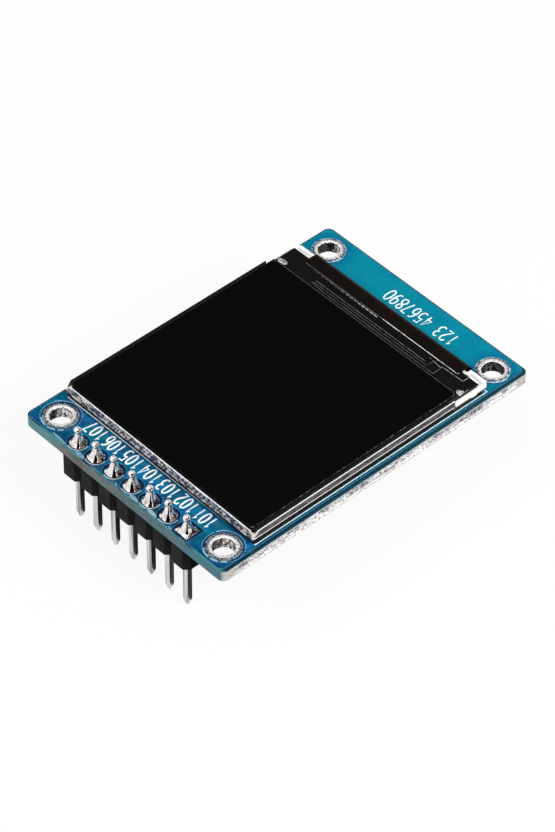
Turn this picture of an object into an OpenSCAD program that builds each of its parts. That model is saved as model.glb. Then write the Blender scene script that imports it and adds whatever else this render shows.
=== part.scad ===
// Square colour display module: a glass panel with its backlight, folded onto a
// blue circuit board that has four mounting holes and a seven-pin header.
//
// Frame: origin at the centre of the four mounting holes, on the board's back
// face. +X runs along the header towards pin 1, +Y runs from the header to the
// folded end of the display, and +Z points out of the screen.

/* [Circuit board] */
// Width of the board, along the header
board_w = 27.78; // [27.2:0.02:34]
// Length of the board, away from the header
board_l = 39.22; // [38.6:0.02:48]
// Thickness of the board
board_t = 1.2; // [0.8:0.1:2]
// Radius of the board's corners
board_corner_r = 0.7; // [0.5:0.1:2]

/* [Mounting holes] */
// Distance from the holes' centres to the board's sides
hole_inset_x = 2.49; // [1.9:0.01:3]
// Distance from the holes' centres to the board's ends
hole_inset_y = 2.36; // [1.9:0.01:2.4]
// Finished bore of a mounting hole
hole_d = 2.2; // [1.8:0.1:2.6]
// Diameter of the bare land round a mounting hole
hole_land_d = 3.2; // [2.9:0.1:3.4]

/* [Pin header] */
// Distance between two pins
pin_pitch = 2.54; // [2:0.01:2.6]
// Side of a square pin
pin_side = 0.64; // [0.5:0.02:0.68]
// How far a pin stands out of the board's front, inside its solder
pin_above = 1.55; // [1.45:0.01:1.6]
// How far a pin stands out below the plastic body
pin_below = 6; // [4:0.1:12]
// Length of the tapered end of a pin below the plastic body
pin_taper = 0.75; // [0.3:0.05:1]
// Side of the flat at that end of a pin
pin_flat = 0.26; // [0.1:0.02:0.4]
// Length of the tapered end of a pin inside its solder
pin_top_taper = 0.9; // [0.85:0.01:1.1]
// Height of the plastic body
header_h = 2.54; // [1.5:0.01:3]
// Depth of the plastic body
header_d = 2.54; // [2:0.01:2.6]
// Cut corner between two pins of the plastic body
header_notch = 0.52; // [0.2:0.02:0.7]
// Distance from the pins' centres to the board's edge
header_inset = 1.27; // [1.1:0.01:1.6]
// Diameter of a pin's land on the board
pin_land_d = 1.7; // [1.5:0.05:1.9]
// Clearance between a pin's corners and its lined hole in the board
pin_room = 0.0475; // [0.03:0.0025:0.1]
// Height of the solder on a land, with the bead at its tip
solder_h = 1.91; // [1.85:0.01:2.2]
// Diameter of the bead at the solder's tip
bead_d = 0.74; // [0.64:0.02:0.8]

/* [Display] */
// Width of the display's steel tray
lcd_w = 26.36; // [25.2:0.02:26.6]
// Length of the display, with its frame
lcd_l = 29.58; // [28.4:0.02:30]
// Distance from the board's header edge to the display
lcd_inset = 4.43; // [4.2:0.01:5]
// Thickness of the foam tape under the display
tape_t = 0.4; // [0.3:0.05:0.8]
// Thickness of the tray's steel
tray_t = 0.12; // [0.1:0.01:0.2]
// Outer radius of the tray's bent edges
tray_bend_r = 0.24; // [0.2:0.01:0.3]
// Height of the tray's walls
tray_h = 1.18; // [1.1:0.02:1.34]
// Height of the tray's lower walls beside the ledge
tray_low_h = 0.43; // [0.4:0.01:0.6]
// Length of the frame that shows past the tray's full walls
bare_frame_l = 4; // [3:0.1:5]

/* [Light and glass] */
// Thickness of the reflector sheet
reflector_t = 0.06; // [0.05:0.01:0.1]
// Thickness of the light guide
guide_t = 0.35; // [0.3:0.01:0.4]
// Thickness of each thin optical film
film_t = 0.05; // [0.04:0.01:0.06]
// Thickness of the black tape that frames the view
shade_t = 0.04; // [0.03:0.01:0.06]
// Thickness of the rear polarizer
rear_polarizer_t = 0.1; // [0.08:0.01:0.12]
// Thickness of each glass plate
glass_t = 0.2; // [0.15:0.01:0.3]
// Thickness of the front polarizer
front_polarizer_t = 0.14; // [0.1:0.01:0.2]
// Depth of the bare glass ledge that carries the driver chip
ledge_l = 2.7; // [2.5:0.05:3]
// Length of the driver chip
chip_w = 15.6; // [12:0.1:18]
// Thickness of the flexible circuit
flex_t = 0.12; // [0.08:0.01:0.14]
// Distance from the tray's sides to the flexible circuit's fold
flex_in = 2.58; // [2.3:0.02:4]
// Width of the flexible circuit's soldered tail
flex_tail_w = 9.6; // [9:0.1:12]

/* [Hidden] */
$fn = 48;
eps = 0.01;                     // overshoot of a cut, never a fit
slip = 0.03;                    // running room between the tray and what drops in
land_t = 0.05;                  // copper and tin on the board
wall_t = 0.05;                  // plating inside a hole

// --- Mounting holes -----------------------------------------------------
hole_pitch_x = board_w - 2 * hole_inset_x;
hole_pitch_y = board_l - 2 * hole_inset_y;

// --- Header -------------------------------------------------------------
pin_count = 7;
pin_row_y = header_inset - board_l / 2;
pin_top_z = board_t + pin_above;
pin_foot_z = -land_t - header_h - pin_below;
pin_bore_d = pin_side * sqrt(2) + 2 * pin_room;
pin_top_flat = 0.16;
solder_r = pin_land_d / 2 - 0.03;
neck_r = 0.73 * bead_d / 2;     // where the cone runs into the bead
neck_h = solder_h - bead_d / 2 - sqrt(pow(bead_d / 2, 2) - pow(neck_r, 2));
cone_steps = 8;
bead_steps = 10;
function pin_x(i) = ((pin_count + 1) / 2 - i) * pin_pitch;

// --- Display, from the board up -----------------------------------------
lcd_y0 = lcd_inset - board_l / 2;
lcd_y1 = lcd_y0 + lcd_l;
tray_z = board_t + tape_t;
floor_z = tray_z + tray_t;
guide_z = floor_z + reflector_t;
film_z = guide_z + guide_t;
shade_z = film_z + 3 * film_t;
rear_polarizer_z = shade_z + shade_t;
tft_z = rear_polarizer_z + rear_polarizer_t;
filter_z = tft_z + glass_t;
front_polarizer_z = filter_z + glass_t;
screen_z = front_polarizer_z + front_polarizer_t;
low_wall_z = tray_z + tray_low_h;

// --- Display, in plan ---------------------------------------------------
bare_y = lcd_y1 - bare_frame_l;
catch_w = 0.7;
catch_h = 0.2;
catch_x = lcd_w / 2 - 1.4;
side_catch_y = lcd_y1 - 1.5;
catch_z = floor_z + 0.1;
corner_cut = 0.7;
frame_w = lcd_w - 2 * (tray_t + slip);
frame_y0 = lcd_y0 + tray_t + slip;
frame_rail = 1;
frame_end = 1.35;
rim_out = 0.08;                 // the rim's overhang past the tray's sides
tab_out = 0.5;                  // and past its far end, beside the flexible circuit
tab_gap = 0.15;
rim_corner = 0.43;
rim_z = low_wall_z + slip;
glass_w = frame_w - 0.46;
glass_y0 = frame_y0 + 0.13;
glass_y1 = lcd_y1 - 0.48;
glass_corner = 0.3;
filter_y1 = glass_y1 - ledge_l;
polarizer_in = 0.22;            // the front polarizer's inset at the sides
polarizer_front_in = 0.06;      // and at the header side
polarizer_corner = 0.3;
window_in = 0.95;               // the black tape's width at the sides
window_w = glass_w - 2 * window_in;
window_y0 = glass_y0 + 1.05;
window_y1 = filter_y1 - 1.05;
guide_gap = 0.05;
guide_w = frame_w - 2 * frame_rail - 2 * guide_gap;
guide_y0 = frame_y0 + frame_rail + guide_gap;
led_w = 3;
led_d = 0.8;
led_h = film_z + 2 * film_t - guide_z - 0.03;
led_pitch = 7.5;
led_gap = 0.04;
frame_hole_y1 = lcd_y1 - frame_end;
guide_y1 = frame_hole_y1 - 1.65;
led_y = guide_y1 + led_gap;
led_flex_w = guide_w - 1.96;
led_flex_t = shade_z - guide_z - led_h;
led_tail_w = 4;
chip_d = 0.7;
chip_h = 0.25;
chip_y = filter_y1 + 0.8;
dot_r = 0.46;
dot_h = 0.22;
dot_x = [0.7 - glass_w / 2, glass_w / 2 - 0.32];
dot_y = filter_y1 + 0.46;

// --- Flexible circuit ---------------------------------------------------
flex_w = lcd_w - 2 * flex_in;
flex_y0 = glass_y1 - 0.8;
flex_top_z = filter_z + flex_t;
fold_r = (flex_top_z - board_t) / 2;
fold_y = lcd_y1 + 0.05;
fold_z = board_t + fold_r;
flex_neck_y = lcd_y1 - 3.2;
flex_tail_y = flex_neck_y - (flex_w - flex_tail_w) / 2;
flex_end_y = flex_tail_y - 3.6;
joint_count = 12;
joint_pitch = 0.7;
joint_r = 0.2;
joint_l = 1.4;

// --- Foam tape ----------------------------------------------------------
tape_in = 0.15;
tape_side_w = 1.95;
tape_split_y = flex_end_y - 1.2;

// --- Small parts on the back: [x, y, turn] -------------------------------
chip_l = 1.6;
chip_b = 0.8;
cap_h = 0.8;
res_h = 0.45;
end_cap = 0.3;
end_wrap = 0.02;
capacitor_spots = [[9.4, -10.6, 90], [2.2, -10.6, 90], [4.4, 1.5, 0], [-4.4, 1.5, 0]];
resistor_spots = [[-9.6, -13, 90], [-2.8, -9.4, 90], [-9.6, -6.4, 90]];
regulator_spot = [5.8, -10.6, 180];
transistor_spot = [-6.2, -9.4, 0];
sot_l = 2.9;
sot_b = 1.3;
sot_h = 1;
sot_lift = 0.06;
sot_span = 2.4;
sot_lead_w = 0.4;
sot_lead_t = 0.12;
sot_pitch = 0.95;
sot_foot = 0.45;
fillet_l = 0.32;
fillet_steps = 5;

// ======================= Circuit board ==================================

module rounded_plate(w, l, t, r) {
    for (x = [-1, 1], y = [-1, 1])
        translate([x * (w / 2 - r), y * (l / 2 - r), 0]) cylinder(r = r, h = t);
    translate([-w / 2, r - l / 2, 0]) cube([w, l - 2 * r, t]);
    translate([r - w / 2, -l / 2, 0]) cube([w - 2 * r, l, t]);
}

module at_hole(i) {
    side = i % 2 == 1 ? -1 : 1;
    end = i < 3 ? -1 : 1;
    translate([side * hole_pitch_x / 2, end * hole_pitch_y / 2, 0]) children();
}

module at_pin(i) {
    translate([pin_x(i), pin_row_y, 0]) children();
}

module board() {
    color("steelblue") difference() {
        rounded_plate(board_w, board_l, board_t, board_corner_r);
        for (i = [1:4]) at_hole(i) translate([0, 0, -eps])
            cylinder(d = hole_d + 2 * wall_t, h = board_t + 2 * eps);
        for (i = [1:pin_count]) at_pin(i) translate([0, 0, -eps])
            cylinder(d = pin_bore_d + 2 * wall_t, h = board_t + 2 * eps);
    }
}

// A plated hole: a land on each face and the lining that joins them.
module plated_hole(bore, land, square_front = false) {
    difference() {
        union() {
            translate([0, 0, -land_t]) cylinder(d = land, h = land_t);
            cylinder(d = bore + 2 * wall_t, h = board_t);
            if (square_front)
                translate([-land / 2, -land / 2, board_t]) cube([land, land, land_t]);
            else
                translate([0, 0, board_t]) cylinder(d = land, h = land_t);
        }
        translate([0, 0, -land_t - eps])
            cylinder(d = bore, h = board_t + 2 * land_t + 2 * eps);
    }
}

module hole_ring(i) {
    color("gainsboro") at_hole(i) plated_hole(hole_d, hole_land_d);
}

module pin_land(i) {
    color("gainsboro") at_pin(i) plated_hole(pin_bore_d, pin_land_d, i == 1);
}

// ======================= Pin header =====================================

// One pin's share of the plastic: a square with its corners cut.
module header_segment() {
    half = pin_pitch / 2;
    deep = header_d / 2;
    flat = half - header_notch;
    edge = deep - header_notch;
    polygon([[-half, -edge], [-flat, -deep], [flat, -deep], [half, -edge],
             [half, edge], [flat, deep], [-flat, deep], [-half, edge]]);
}

module header_body() {
    color("#1c1c1e") translate([0, 0, -land_t - header_h]) difference() {
        linear_extrude(header_h) for (i = [1:pin_count]) at_pin(i) header_segment();
        for (i = [1:pin_count]) at_pin(i) translate([-pin_side / 2, -pin_side / 2, -eps])
            cube([pin_side, pin_side, header_h + 2 * eps]);
    }
}

// Side view of a pin; two of these, crossed, leave the four-sided points.
module pin_side_view() {
    half = pin_side / 2;
    tip = pin_flat / 2;
    top = pin_top_flat / 2;
    rotate([90, 0, 0]) linear_extrude(pin_side, center = true)
        polygon([[-half, pin_foot_z + pin_taper], [-tip, pin_foot_z],
                 [tip, pin_foot_z], [half, pin_foot_z + pin_taper],
                 [half, pin_top_z - pin_top_taper], [top, pin_top_z],
                 [-top, pin_top_z], [-half, pin_top_z - pin_top_taper]]);
}

module bare_pin() {
    intersection() {
        pin_side_view();
        rotate([0, 0, 90]) pin_side_view();
    }
}

module pin(i) {
    color("silver") at_pin(i) bare_pin();
}

// Radius of the hollow solder cone at a share t of its height.
function cone_r(t) = neck_r + (solder_r - neck_r) * pow(1 - t, 1.5);

// Points round the bead, from the cone's end up to the tip.
function bead_points(r, z) = let (start = -acos(neck_r / r))
    [for (k = [1:bead_steps]) let (a = start + (90 - start) * k / bead_steps)
        [r * cos(a), z + r * sin(a)]];

module solder(i) {
    top = board_t + land_t;
    color("lightgray") at_pin(i) difference() {
        rotate_extrude() polygon(concat(
            [[0, -land_t], [pin_bore_d / 2, -land_t], [pin_bore_d / 2, top]],
            [for (k = [0:cone_steps]) [cone_r(k / cone_steps), top + neck_h * k / cone_steps]],
            bead_points(bead_d / 2, top + solder_h - bead_d / 2)));
        bare_pin();
    }
}

// ======================= Foam tape ======================================

module tape_front() {
    color("#202020") translate([tape_in - lcd_w / 2, lcd_y0 + tape_in, board_t])
        cube([lcd_w - 2 * tape_in, tape_split_y - lcd_y0 - tape_in, tape_t]);
}

module tape_side(side) {
    gap = 0.3;
    x = side * (lcd_w / 2 - tape_in - tape_side_w / 2) - tape_side_w / 2;
    color("#202020") translate([x, tape_split_y + gap, board_t])
        cube([tape_side_w, lcd_y1 - tape_split_y - gap - tape_in, tape_t]);
}

module tape_left() {
    tape_side(-1);
}

module tape_right() {
    tape_side(1);
}

// ======================= Steel tray =====================================

// Section of a pan whose two lower corners are bent to radius r.
module pan_section(w, h, r) {
    for (x = [-1, 1]) translate([x * (w / 2 - r), r]) circle(r = r);
    translate([r - w / 2, 0]) square([w - 2 * r, h]);
    translate([-w / 2, r]) square([w, h - r]);
}

// Solid pan with bent edges at both sides and at the header end.
module pan_block(w, y0, y1, z0, h, r) {
    intersection() {
        translate([0, y1, z0]) rotate([90, 0, 0]) linear_extrude(y1 - y0)
            pan_section(w, h, r);
        translate([-w / 2, y1, z0]) rotate([90, 0, 90]) linear_extrude(w)
            pan_section(2 * (y1 - y0), h, r);
    }
}

// Relief at a front corner: nothing at the floor, corner_cut wide at the top.
module corner_relief(side) {
    reach = corner_cut / sqrt(2);
    translate([side * lcd_w / 2, lcd_y0, tray_z]) rotate([0, 0, side * 45])
        rotate([90, 0, 90]) linear_extrude(2 * lcd_w, center = true)
            polygon([[0, tray_bend_r], [reach, tray_h + eps], [-1, tray_h + eps], [-1, tray_bend_r]]);
}

module backlight_tray() {
    color("gray") difference() {
        pan_block(lcd_w, lcd_y0, lcd_y1, tray_z, tray_h, tray_bend_r);
        pan_block(lcd_w - 2 * tray_t, lcd_y0 + tray_t, lcd_y1 + 1, floor_z, tray_h,
                  tray_bend_r - tray_t);
        translate([-lcd_w, bare_y, low_wall_z]) cube([2 * lcd_w, lcd_l, tray_h]);
        for (side = [-1, 1]) {
            corner_relief(side);
            translate([side * catch_x - catch_w / 2 - slip, lcd_y0 - 1, catch_z - slip])
                cube([catch_w + 2 * slip, 2, catch_h + 2 * slip]);
            translate([side * lcd_w / 2 - 1, side_catch_y - catch_w / 2 - slip, catch_z - slip])
                cube([2, catch_w + 2 * slip, catch_h + 2 * slip]);
        }
    }
}

// ======================= Moulded frame ==================================

// The rim before its middle is cut out, with its two far corners cut off.
module rim_block() {
    half = lcd_w / 2 + rim_out;
    y1 = lcd_y1 + tab_out;
    translate([0, 0, rim_z]) linear_extrude(shade_z - rim_z)
        polygon([[-half, bare_y + slip], [half, bare_y + slip], [half, y1 - rim_corner],
                 [half - rim_corner, y1], [rim_corner - half, y1], [-half, y1 - rim_corner]]);
}

module backlight_frame() {
    corner_r = tray_bend_r - tray_t;
    color("ivory") difference() {
        union() {
            difference() {
                pan_block(frame_w, frame_y0, lcd_y1, floor_z, shade_z - floor_z, corner_r);
                translate([-guide_w / 2 - guide_gap, guide_y0 - guide_gap, floor_z - eps])
                    cube([guide_w + 2 * guide_gap, frame_hole_y1 - guide_y0 + guide_gap, 2]);
            }
            for (side = [-1, 1]) {
                translate([side * catch_x - catch_w / 2, lcd_y0 - 0.02, catch_z])
                    cube([catch_w, tray_t + slip + 0.1, catch_h]);
                translate([side * (lcd_w / 2 - 0.115) - 0.135, side_catch_y - catch_w / 2, catch_z])
                    cube([0.27, catch_w, catch_h]);
            }
            // the rim round the ledge, out over the tray's low walls, and its two far tabs
            difference() {
                rim_block();
                translate([-glass_w / 2 - slip, bare_y - 1, rim_z - eps])
                    cube([glass_w + 2 * slip, glass_y1 + slip - bare_y + 1, 2]);
                translate([-flex_w / 2 - tab_gap, bare_y, rim_z - eps])
                    cube([flex_w + 2 * tab_gap, 20, 2]);
            }
        }
        // way out for the light strip's tail
        translate([-led_tail_w / 2 - 0.1, frame_hole_y1 - eps, shade_z - led_flex_t - slip])
            cube([led_tail_w + 0.2, frame_end + 1, 2]);
    }
}

// ======================= Light stack ====================================

module sheet(w, y0, y1, z, t) {
    translate([-w / 2, y0, z]) cube([w, y1 - y0, t]);
}

module reflector() {
    color("white") sheet(guide_w, guide_y0, frame_hole_y1 - guide_gap, floor_z, reflector_t);
}

module light_guide() {
    color("lightcyan") sheet(guide_w, guide_y0, guide_y1, guide_z, guide_t);
}

module diffuser() {
    color("white") sheet(guide_w, guide_y0, guide_y1 - 0.1, film_z, film_t);
}

module prism_film_lower() {
    color("whitesmoke") sheet(guide_w, guide_y0, guide_y1 - 0.1, film_z + film_t, film_t);
}

module prism_film_upper() {
    color("whitesmoke") sheet(guide_w, guide_y0, guide_y1 - 0.1, film_z + 2 * film_t, film_t);
}

module led(i) {
    color("lightyellow") translate([(i - 2) * led_pitch - led_w / 2, led_y, guide_z]) difference() {
        cube([led_w, led_d, led_h]);
        // the lit window in the side that faces the guide
        translate([0.3, -eps, 0.08]) cube([led_w - 0.6, 0.15, led_h - 0.16]);
    }
}

module led_flex() {
    z = shade_z - led_flex_t;
    color("orange") {
        sheet(led_flex_w, led_y, frame_hole_y1 - guide_gap, z, led_flex_t);
        sheet(led_tail_w, frame_hole_y1 - guide_gap - eps, lcd_y1 + 0.2, z, led_flex_t);
    }
}

module shading_tape() {
    color("#101010") difference() {
        glass_plate(glass_y1 - 0.2, shade_z, shade_t);
        translate([-window_w / 2, window_y0, shade_z - eps])
            cube([window_w, window_y1 - window_y0, shade_t + 2 * eps]);
    }
}

// ======================= Glass ==========================================

// Plate of the glass outline, with the two header-side corners cut.
module glass_plate(y1, z, t) {
    half = glass_w / 2;
    translate([0, 0, z]) linear_extrude(t)
        polygon([[glass_corner - half, glass_y0], [half - glass_corner, glass_y0],
                 [half, glass_y0 + glass_corner], [half, y1], [-half, y1],
                 [-half, glass_y0 + glass_corner]]);
}

module rear_polarizer() {
    inset = 0.5;
    color("#303038") sheet(glass_w - 2 * inset, glass_y0 + inset, filter_y1 - 0.1,
                           rear_polarizer_z, rear_polarizer_t);
}

module tft_glass() {
    color("#15161a") glass_plate(glass_y1, tft_z, glass_t);
}

module filter_glass() {
    color("#101114") glass_plate(filter_y1, filter_z, glass_t);
}

module front_polarizer() {
    w = glass_w - 2 * polarizer_in;
    y0 = glass_y0 + polarizer_front_in;
    l = filter_y1 - 0.1 - y0;
    color("#08080a") translate([0, y0 + l / 2, front_polarizer_z])
        rounded_plate(w, l, front_polarizer_t, polarizer_corner);
}

module driver_chip() {
    color("#26272b") translate([-chip_w / 2, chip_y, filter_z]) cube([chip_w, chip_d, chip_h]);
}

// Conductive dots that tie the front glass to the ledge.
module ground_dots() {
    ball_r = (dot_r * dot_r + dot_h * dot_h) / (2 * dot_h);
    color("silver") for (x = dot_x) intersection() {
        translate([x, dot_y, filter_z + dot_h - ball_r]) sphere(r = ball_r);
        translate([max(x - 1, -glass_w / 2), filter_y1, filter_z])
            cube([min(x + 1, glass_w / 2) - max(x - 1, -glass_w / 2), 1, 1]);
    }
}

// ======================= Flexible circuit ===============================

module flex_circuit() {
    color("#2a211c") {
        // bonded to the ledge, out over the frame
        sheet(flex_w, flex_y0, fold_y, filter_z, flex_t);
        // the fold
        intersection() {
            translate([-flex_w / 2, fold_y, fold_z]) rotate([0, 90, 0]) difference() {
                cylinder(r = fold_r, h = flex_w);
                translate([0, 0, -eps]) cylinder(r = fold_r - flex_t, h = flex_w + 2 * eps);
            }
            translate([-flex_w, fold_y, 0]) cube([2 * flex_w, 2 * fold_r, 4 * fold_r]);
        }
        // back under the display, narrowing to the soldered tail
        translate([0, 0, board_t]) linear_extrude(flex_t)
            polygon([[-flex_w / 2, fold_y], [-flex_w / 2, flex_neck_y],
                     [-flex_tail_w / 2, flex_tail_y], [-flex_tail_w / 2, flex_end_y],
                     [flex_tail_w / 2, flex_end_y], [flex_tail_w / 2, flex_tail_y],
                     [flex_w / 2, flex_neck_y], [flex_w / 2, fold_y]]);
    }
}

module tail_solder() {
    z = board_t + flex_t;
    color("lightgray") for (i = [0:joint_count - 1])
        translate([(i - (joint_count - 1) / 2) * joint_pitch, flex_end_y + 0.2, z]) intersection() {
            translate([0, 0, -0.05]) rotate([-90, 0, 0]) cylinder(r = joint_r, h = joint_l);
            translate([-1, 0, 0]) cube([2, joint_l, 1]);
        }
}

// ======================= Small parts on the back ========================

// Places a part against the board's back face, its top pointing to -Z.
module on_back(spot) {
    translate([spot[0], spot[1], -land_t]) rotate([0, 0, spot[2]]) mirror([0, 0, 1]) children();
}

// Six-sided moulding whose walls draw in above and below the parting line.
module moulded_body(l, b, h, draft) {
    module wall_view(w, deep) {
        rotate([90, 0, 0]) linear_extrude(deep, center = true)
            polygon([[draft - w / 2, 0], [w / 2 - draft, 0], [w / 2, h / 2],
                     [w / 2 - draft, h], [draft - w / 2, h], [-w / 2, h / 2]]);
    }
    intersection() {
        wall_view(l, b);
        rotate([0, 0, 90]) wall_view(b, l);
    }
}

// Bent lead seen from its side, from inside the body out to the foot.
module gull_lead() {
    inner = sot_b / 2;
    outer = sot_span / 2;
    shoulder = sot_lift + sot_h / 2;
    heel = outer - sot_foot;
    rotate([90, 0, 90]) linear_extrude(sot_lead_w, center = true)
        polygon([[inner, shoulder - sot_lead_t / 2], [inner, shoulder + sot_lead_t / 2],
                 [heel + 0.04, shoulder + sot_lead_t / 2], [heel + 0.18, sot_lead_t],
                 [outer, sot_lead_t], [outer, 0], [heel + 0.08, 0],
                 [heel - 0.06, shoulder - sot_lead_t / 2]]);
}

module three_leads(spot) {
    on_back(spot) {
        for (x = [-1, 1]) translate([x * sot_pitch, 0, 0]) rotate([0, 0, 180]) gull_lead();
        gull_lead();
    }
}

module three_lead_body(spot) {
    on_back(spot) translate([0, 0, sot_lift]) moulded_body(sot_l, sot_b, sot_h, 0.09);
}

module regulator_body() {
    color("#222224") three_lead_body(regulator_spot);
}

module regulator_leads() {
    color("silver") three_leads(regulator_spot);
}

module transistor_body() {
    color("#222224") three_lead_body(transistor_spot);
}

module transistor_leads() {
    color("silver") three_leads(transistor_spot);
}

module chip_blocks(spots, h) {
    for (spot = spots) on_back(spot)
        translate([end_cap - chip_l / 2, end_wrap - chip_b / 2, end_wrap])
            cube([chip_l - 2 * end_cap, chip_b - 2 * end_wrap, h - 2 * end_wrap]);
}

module capacitors() {
    color("#a8834f") chip_blocks(capacitor_spots, cap_h);
}

module resistors() {
    color("#1e1e20") chip_blocks(resistor_spots, res_h);
}

module cap_pairs(spots, h) {
    for (spot = spots, side = [-1, 1]) on_back(spot)
        translate([side * (chip_l - end_cap) / 2 - end_cap / 2, -chip_b / 2, 0])
            cube([end_cap, chip_b, h]);
}

module chip_caps() {
    color("lightgray") {
        cap_pairs(capacitor_spots, cap_h);
        cap_pairs(resistor_spots, res_h);
    }
}

// Hollow fillet of solder that climbs a metal face at y = 0, with the pad below it.
module fillet(w, h, under) {
    rotate([90, 0, 90]) linear_extrude(w, center = true) polygon(concat(
        [[-under, -land_t], [fillet_l + 0.08, -land_t], [fillet_l + 0.08, 0]],
        [for (k = [0:fillet_steps]) let (t = k / fillet_steps)
            [fillet_l * pow(1 - t, 2), h * t]],
        [[0, 0], [-under, 0]]));
}

module chip_solder() {
    pad_w = chip_b + 0.16;
    color("lightgray") {
        for (group = [[capacitor_spots, 0.5 * cap_h], [resistor_spots, 0.7 * res_h]],
             spot = group[0], turn = [90, -90])
            on_back(spot) rotate([0, 0, turn]) translate([0, chip_l / 2, 0])
                fillet(pad_w, group[1], end_cap + 0.05);
        for (spot = [regulator_spot, transistor_spot]) on_back(spot) {
            translate([0, sot_span / 2, 0]) fillet(sot_lead_w + 0.3, sot_lead_t, sot_foot);
            for (x = [-1, 1]) translate([x * sot_pitch, -sot_span / 2, 0]) rotate([0, 0, 180])
                fillet(sot_lead_w + 0.3, sot_lead_t, sot_foot);
        }
    }
}

// ======================= Assembly =======================================

board();
hole_ring(1);  // hole_ring_1
hole_ring(2);  // hole_ring_2
hole_ring(3);  // hole_ring_3
hole_ring(4);  // hole_ring_4
pin_land(1);  // pin_land_1
pin_land(2);  // pin_land_2
pin_land(3);  // pin_land_3
pin_land(4);  // pin_land_4
pin_land(5);  // pin_land_5
pin_land(6);  // pin_land_6
pin_land(7);  // pin_land_7
header_body();
pin(1);  // pin_1
pin(2);  // pin_2
pin(3);  // pin_3
pin(4);  // pin_4
pin(5);  // pin_5
pin(6);  // pin_6
pin(7);  // pin_7
solder(1);  // solder_1
solder(2);  // solder_2
solder(3);  // solder_3
solder(4);  // solder_4
solder(5);  // solder_5
solder(6);  // solder_6
solder(7);  // solder_7
tape_front();
tape_left();
tape_right();
backlight_tray();
backlight_frame();
reflector();
light_guide();
diffuser();
prism_film_lower();
prism_film_upper();
shading_tape();
rear_polarizer();
tft_glass();
filter_glass();
front_polarizer();
driver_chip();
ground_dots();
flex_circuit();
tail_solder();
led_flex();
led(1);  // led_1
led(2);  // led_2
led(3);  // led_3
regulator_body();
regulator_leads();
transistor_body();
transistor_leads();
capacitors();
resistors();
chip_caps();
chip_solder();
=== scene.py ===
"""Looks of a small square colour display on its blue circuit board.

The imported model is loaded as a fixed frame. Classes for the board, the pin
header, the display and the parts on the back dress its pieces and add the
relief, ink, tin and solder that show on them. Lengths are in millimetres in
the code and become metres when a mesh is made.
"""
import logging
import math
from abc import ABC, abstractmethod
from dataclasses import dataclass
from enum import Enum
from typing import Iterable, NamedTuple, Sequence

import bmesh
import bpy
from mathutils import Matrix, Vector, noise


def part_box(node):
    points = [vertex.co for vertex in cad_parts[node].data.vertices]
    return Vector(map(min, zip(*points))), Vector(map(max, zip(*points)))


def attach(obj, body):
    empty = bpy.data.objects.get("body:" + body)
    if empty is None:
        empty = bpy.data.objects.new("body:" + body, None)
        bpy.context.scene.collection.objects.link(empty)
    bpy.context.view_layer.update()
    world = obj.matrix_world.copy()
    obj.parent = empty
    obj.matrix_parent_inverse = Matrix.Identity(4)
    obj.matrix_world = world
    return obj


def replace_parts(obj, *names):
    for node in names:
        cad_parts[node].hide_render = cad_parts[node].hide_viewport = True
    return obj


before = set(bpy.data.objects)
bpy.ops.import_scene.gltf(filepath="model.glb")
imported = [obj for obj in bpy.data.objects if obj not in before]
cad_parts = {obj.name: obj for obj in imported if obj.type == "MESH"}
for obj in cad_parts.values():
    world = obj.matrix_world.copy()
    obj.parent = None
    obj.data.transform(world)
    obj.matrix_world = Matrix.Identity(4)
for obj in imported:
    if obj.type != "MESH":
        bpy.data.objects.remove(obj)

log = logging.getLogger("display_module")
MM = 0.001
ACROSS, ALONG, UP = range(3)
Point = tuple[float, float]
Place = tuple[float, float, float]
Path = list[Point]
Line = tuple[Path, bool]
Face = tuple[int, ...]
Tone = tuple[int, int, int]
Socket = bpy.types.NodeSocket
Value = float | Socket
Colour = Tone | Socket
Inputs = dict[str | int, object]
Corners = Sequence[Sequence[float]]
EVEN: Place = (1.0, 1.0, 1.0)
# Height of the masked copper over the bare board.
RELIEF = 0.035
# Share of a bead's width that its very ends have.
END_RADIUS = 0.35
# Place of a mounting hole; the other three are its mirror images.
HOLE: Point = (11.4, 17.25)


class Slot(Enum):
    """Material slots of the record that the pieces take their finish from."""

    BOARD = "board"
    TIN = "tinned_copper"
    HEADER = "header_plastic"
    PIN = "pin_metal"
    SOLDER = "solder"
    FOAM = "foam_tape"
    STEEL = "tray_steel"
    FRAME = "frame_plastic"
    REFLECTOR = "reflector_film"
    ACRYLIC = "clear_acrylic"
    FILM = "optical_film"
    BLACK_TAPE = "black_tape"
    POLARIZER = "polarizer"
    GLASS = "panel_glass"
    SILICON = "silicon"
    SILVER = "silver_paste"
    FLEX = "flex_film"
    LED_FLEX = "led_flex_film"
    LED = "led_package"
    EPOXY = "moulded_epoxy"
    CAPACITOR = "capacitor_ceramic"
    RESISTOR = "resistor_ceramic"


# ---------------------------------------------------------------- materials


def linear(tone: Tone) -> tuple[float, float, float, float]:
    """Turns a display colour of 0 to 255 a channel into linear light.

    Args:
        tone: Red, green and blue as a screen shows them.

    Returns:
        The colour with its alpha of 1.
    """
    parts = [c / 255 for c in tone]
    lin = [c / 12.92 if c <= 0.04045 else ((c + 0.055) / 1.055) ** 2.4 for c in parts]
    return (lin[0], lin[1], lin[2], 1.0)


def dimmed(tone: Tone, share: float) -> Tone:
    """Gives a tone whose channels are a share of what they were."""
    return tuple(int(c * share) for c in tone)


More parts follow.
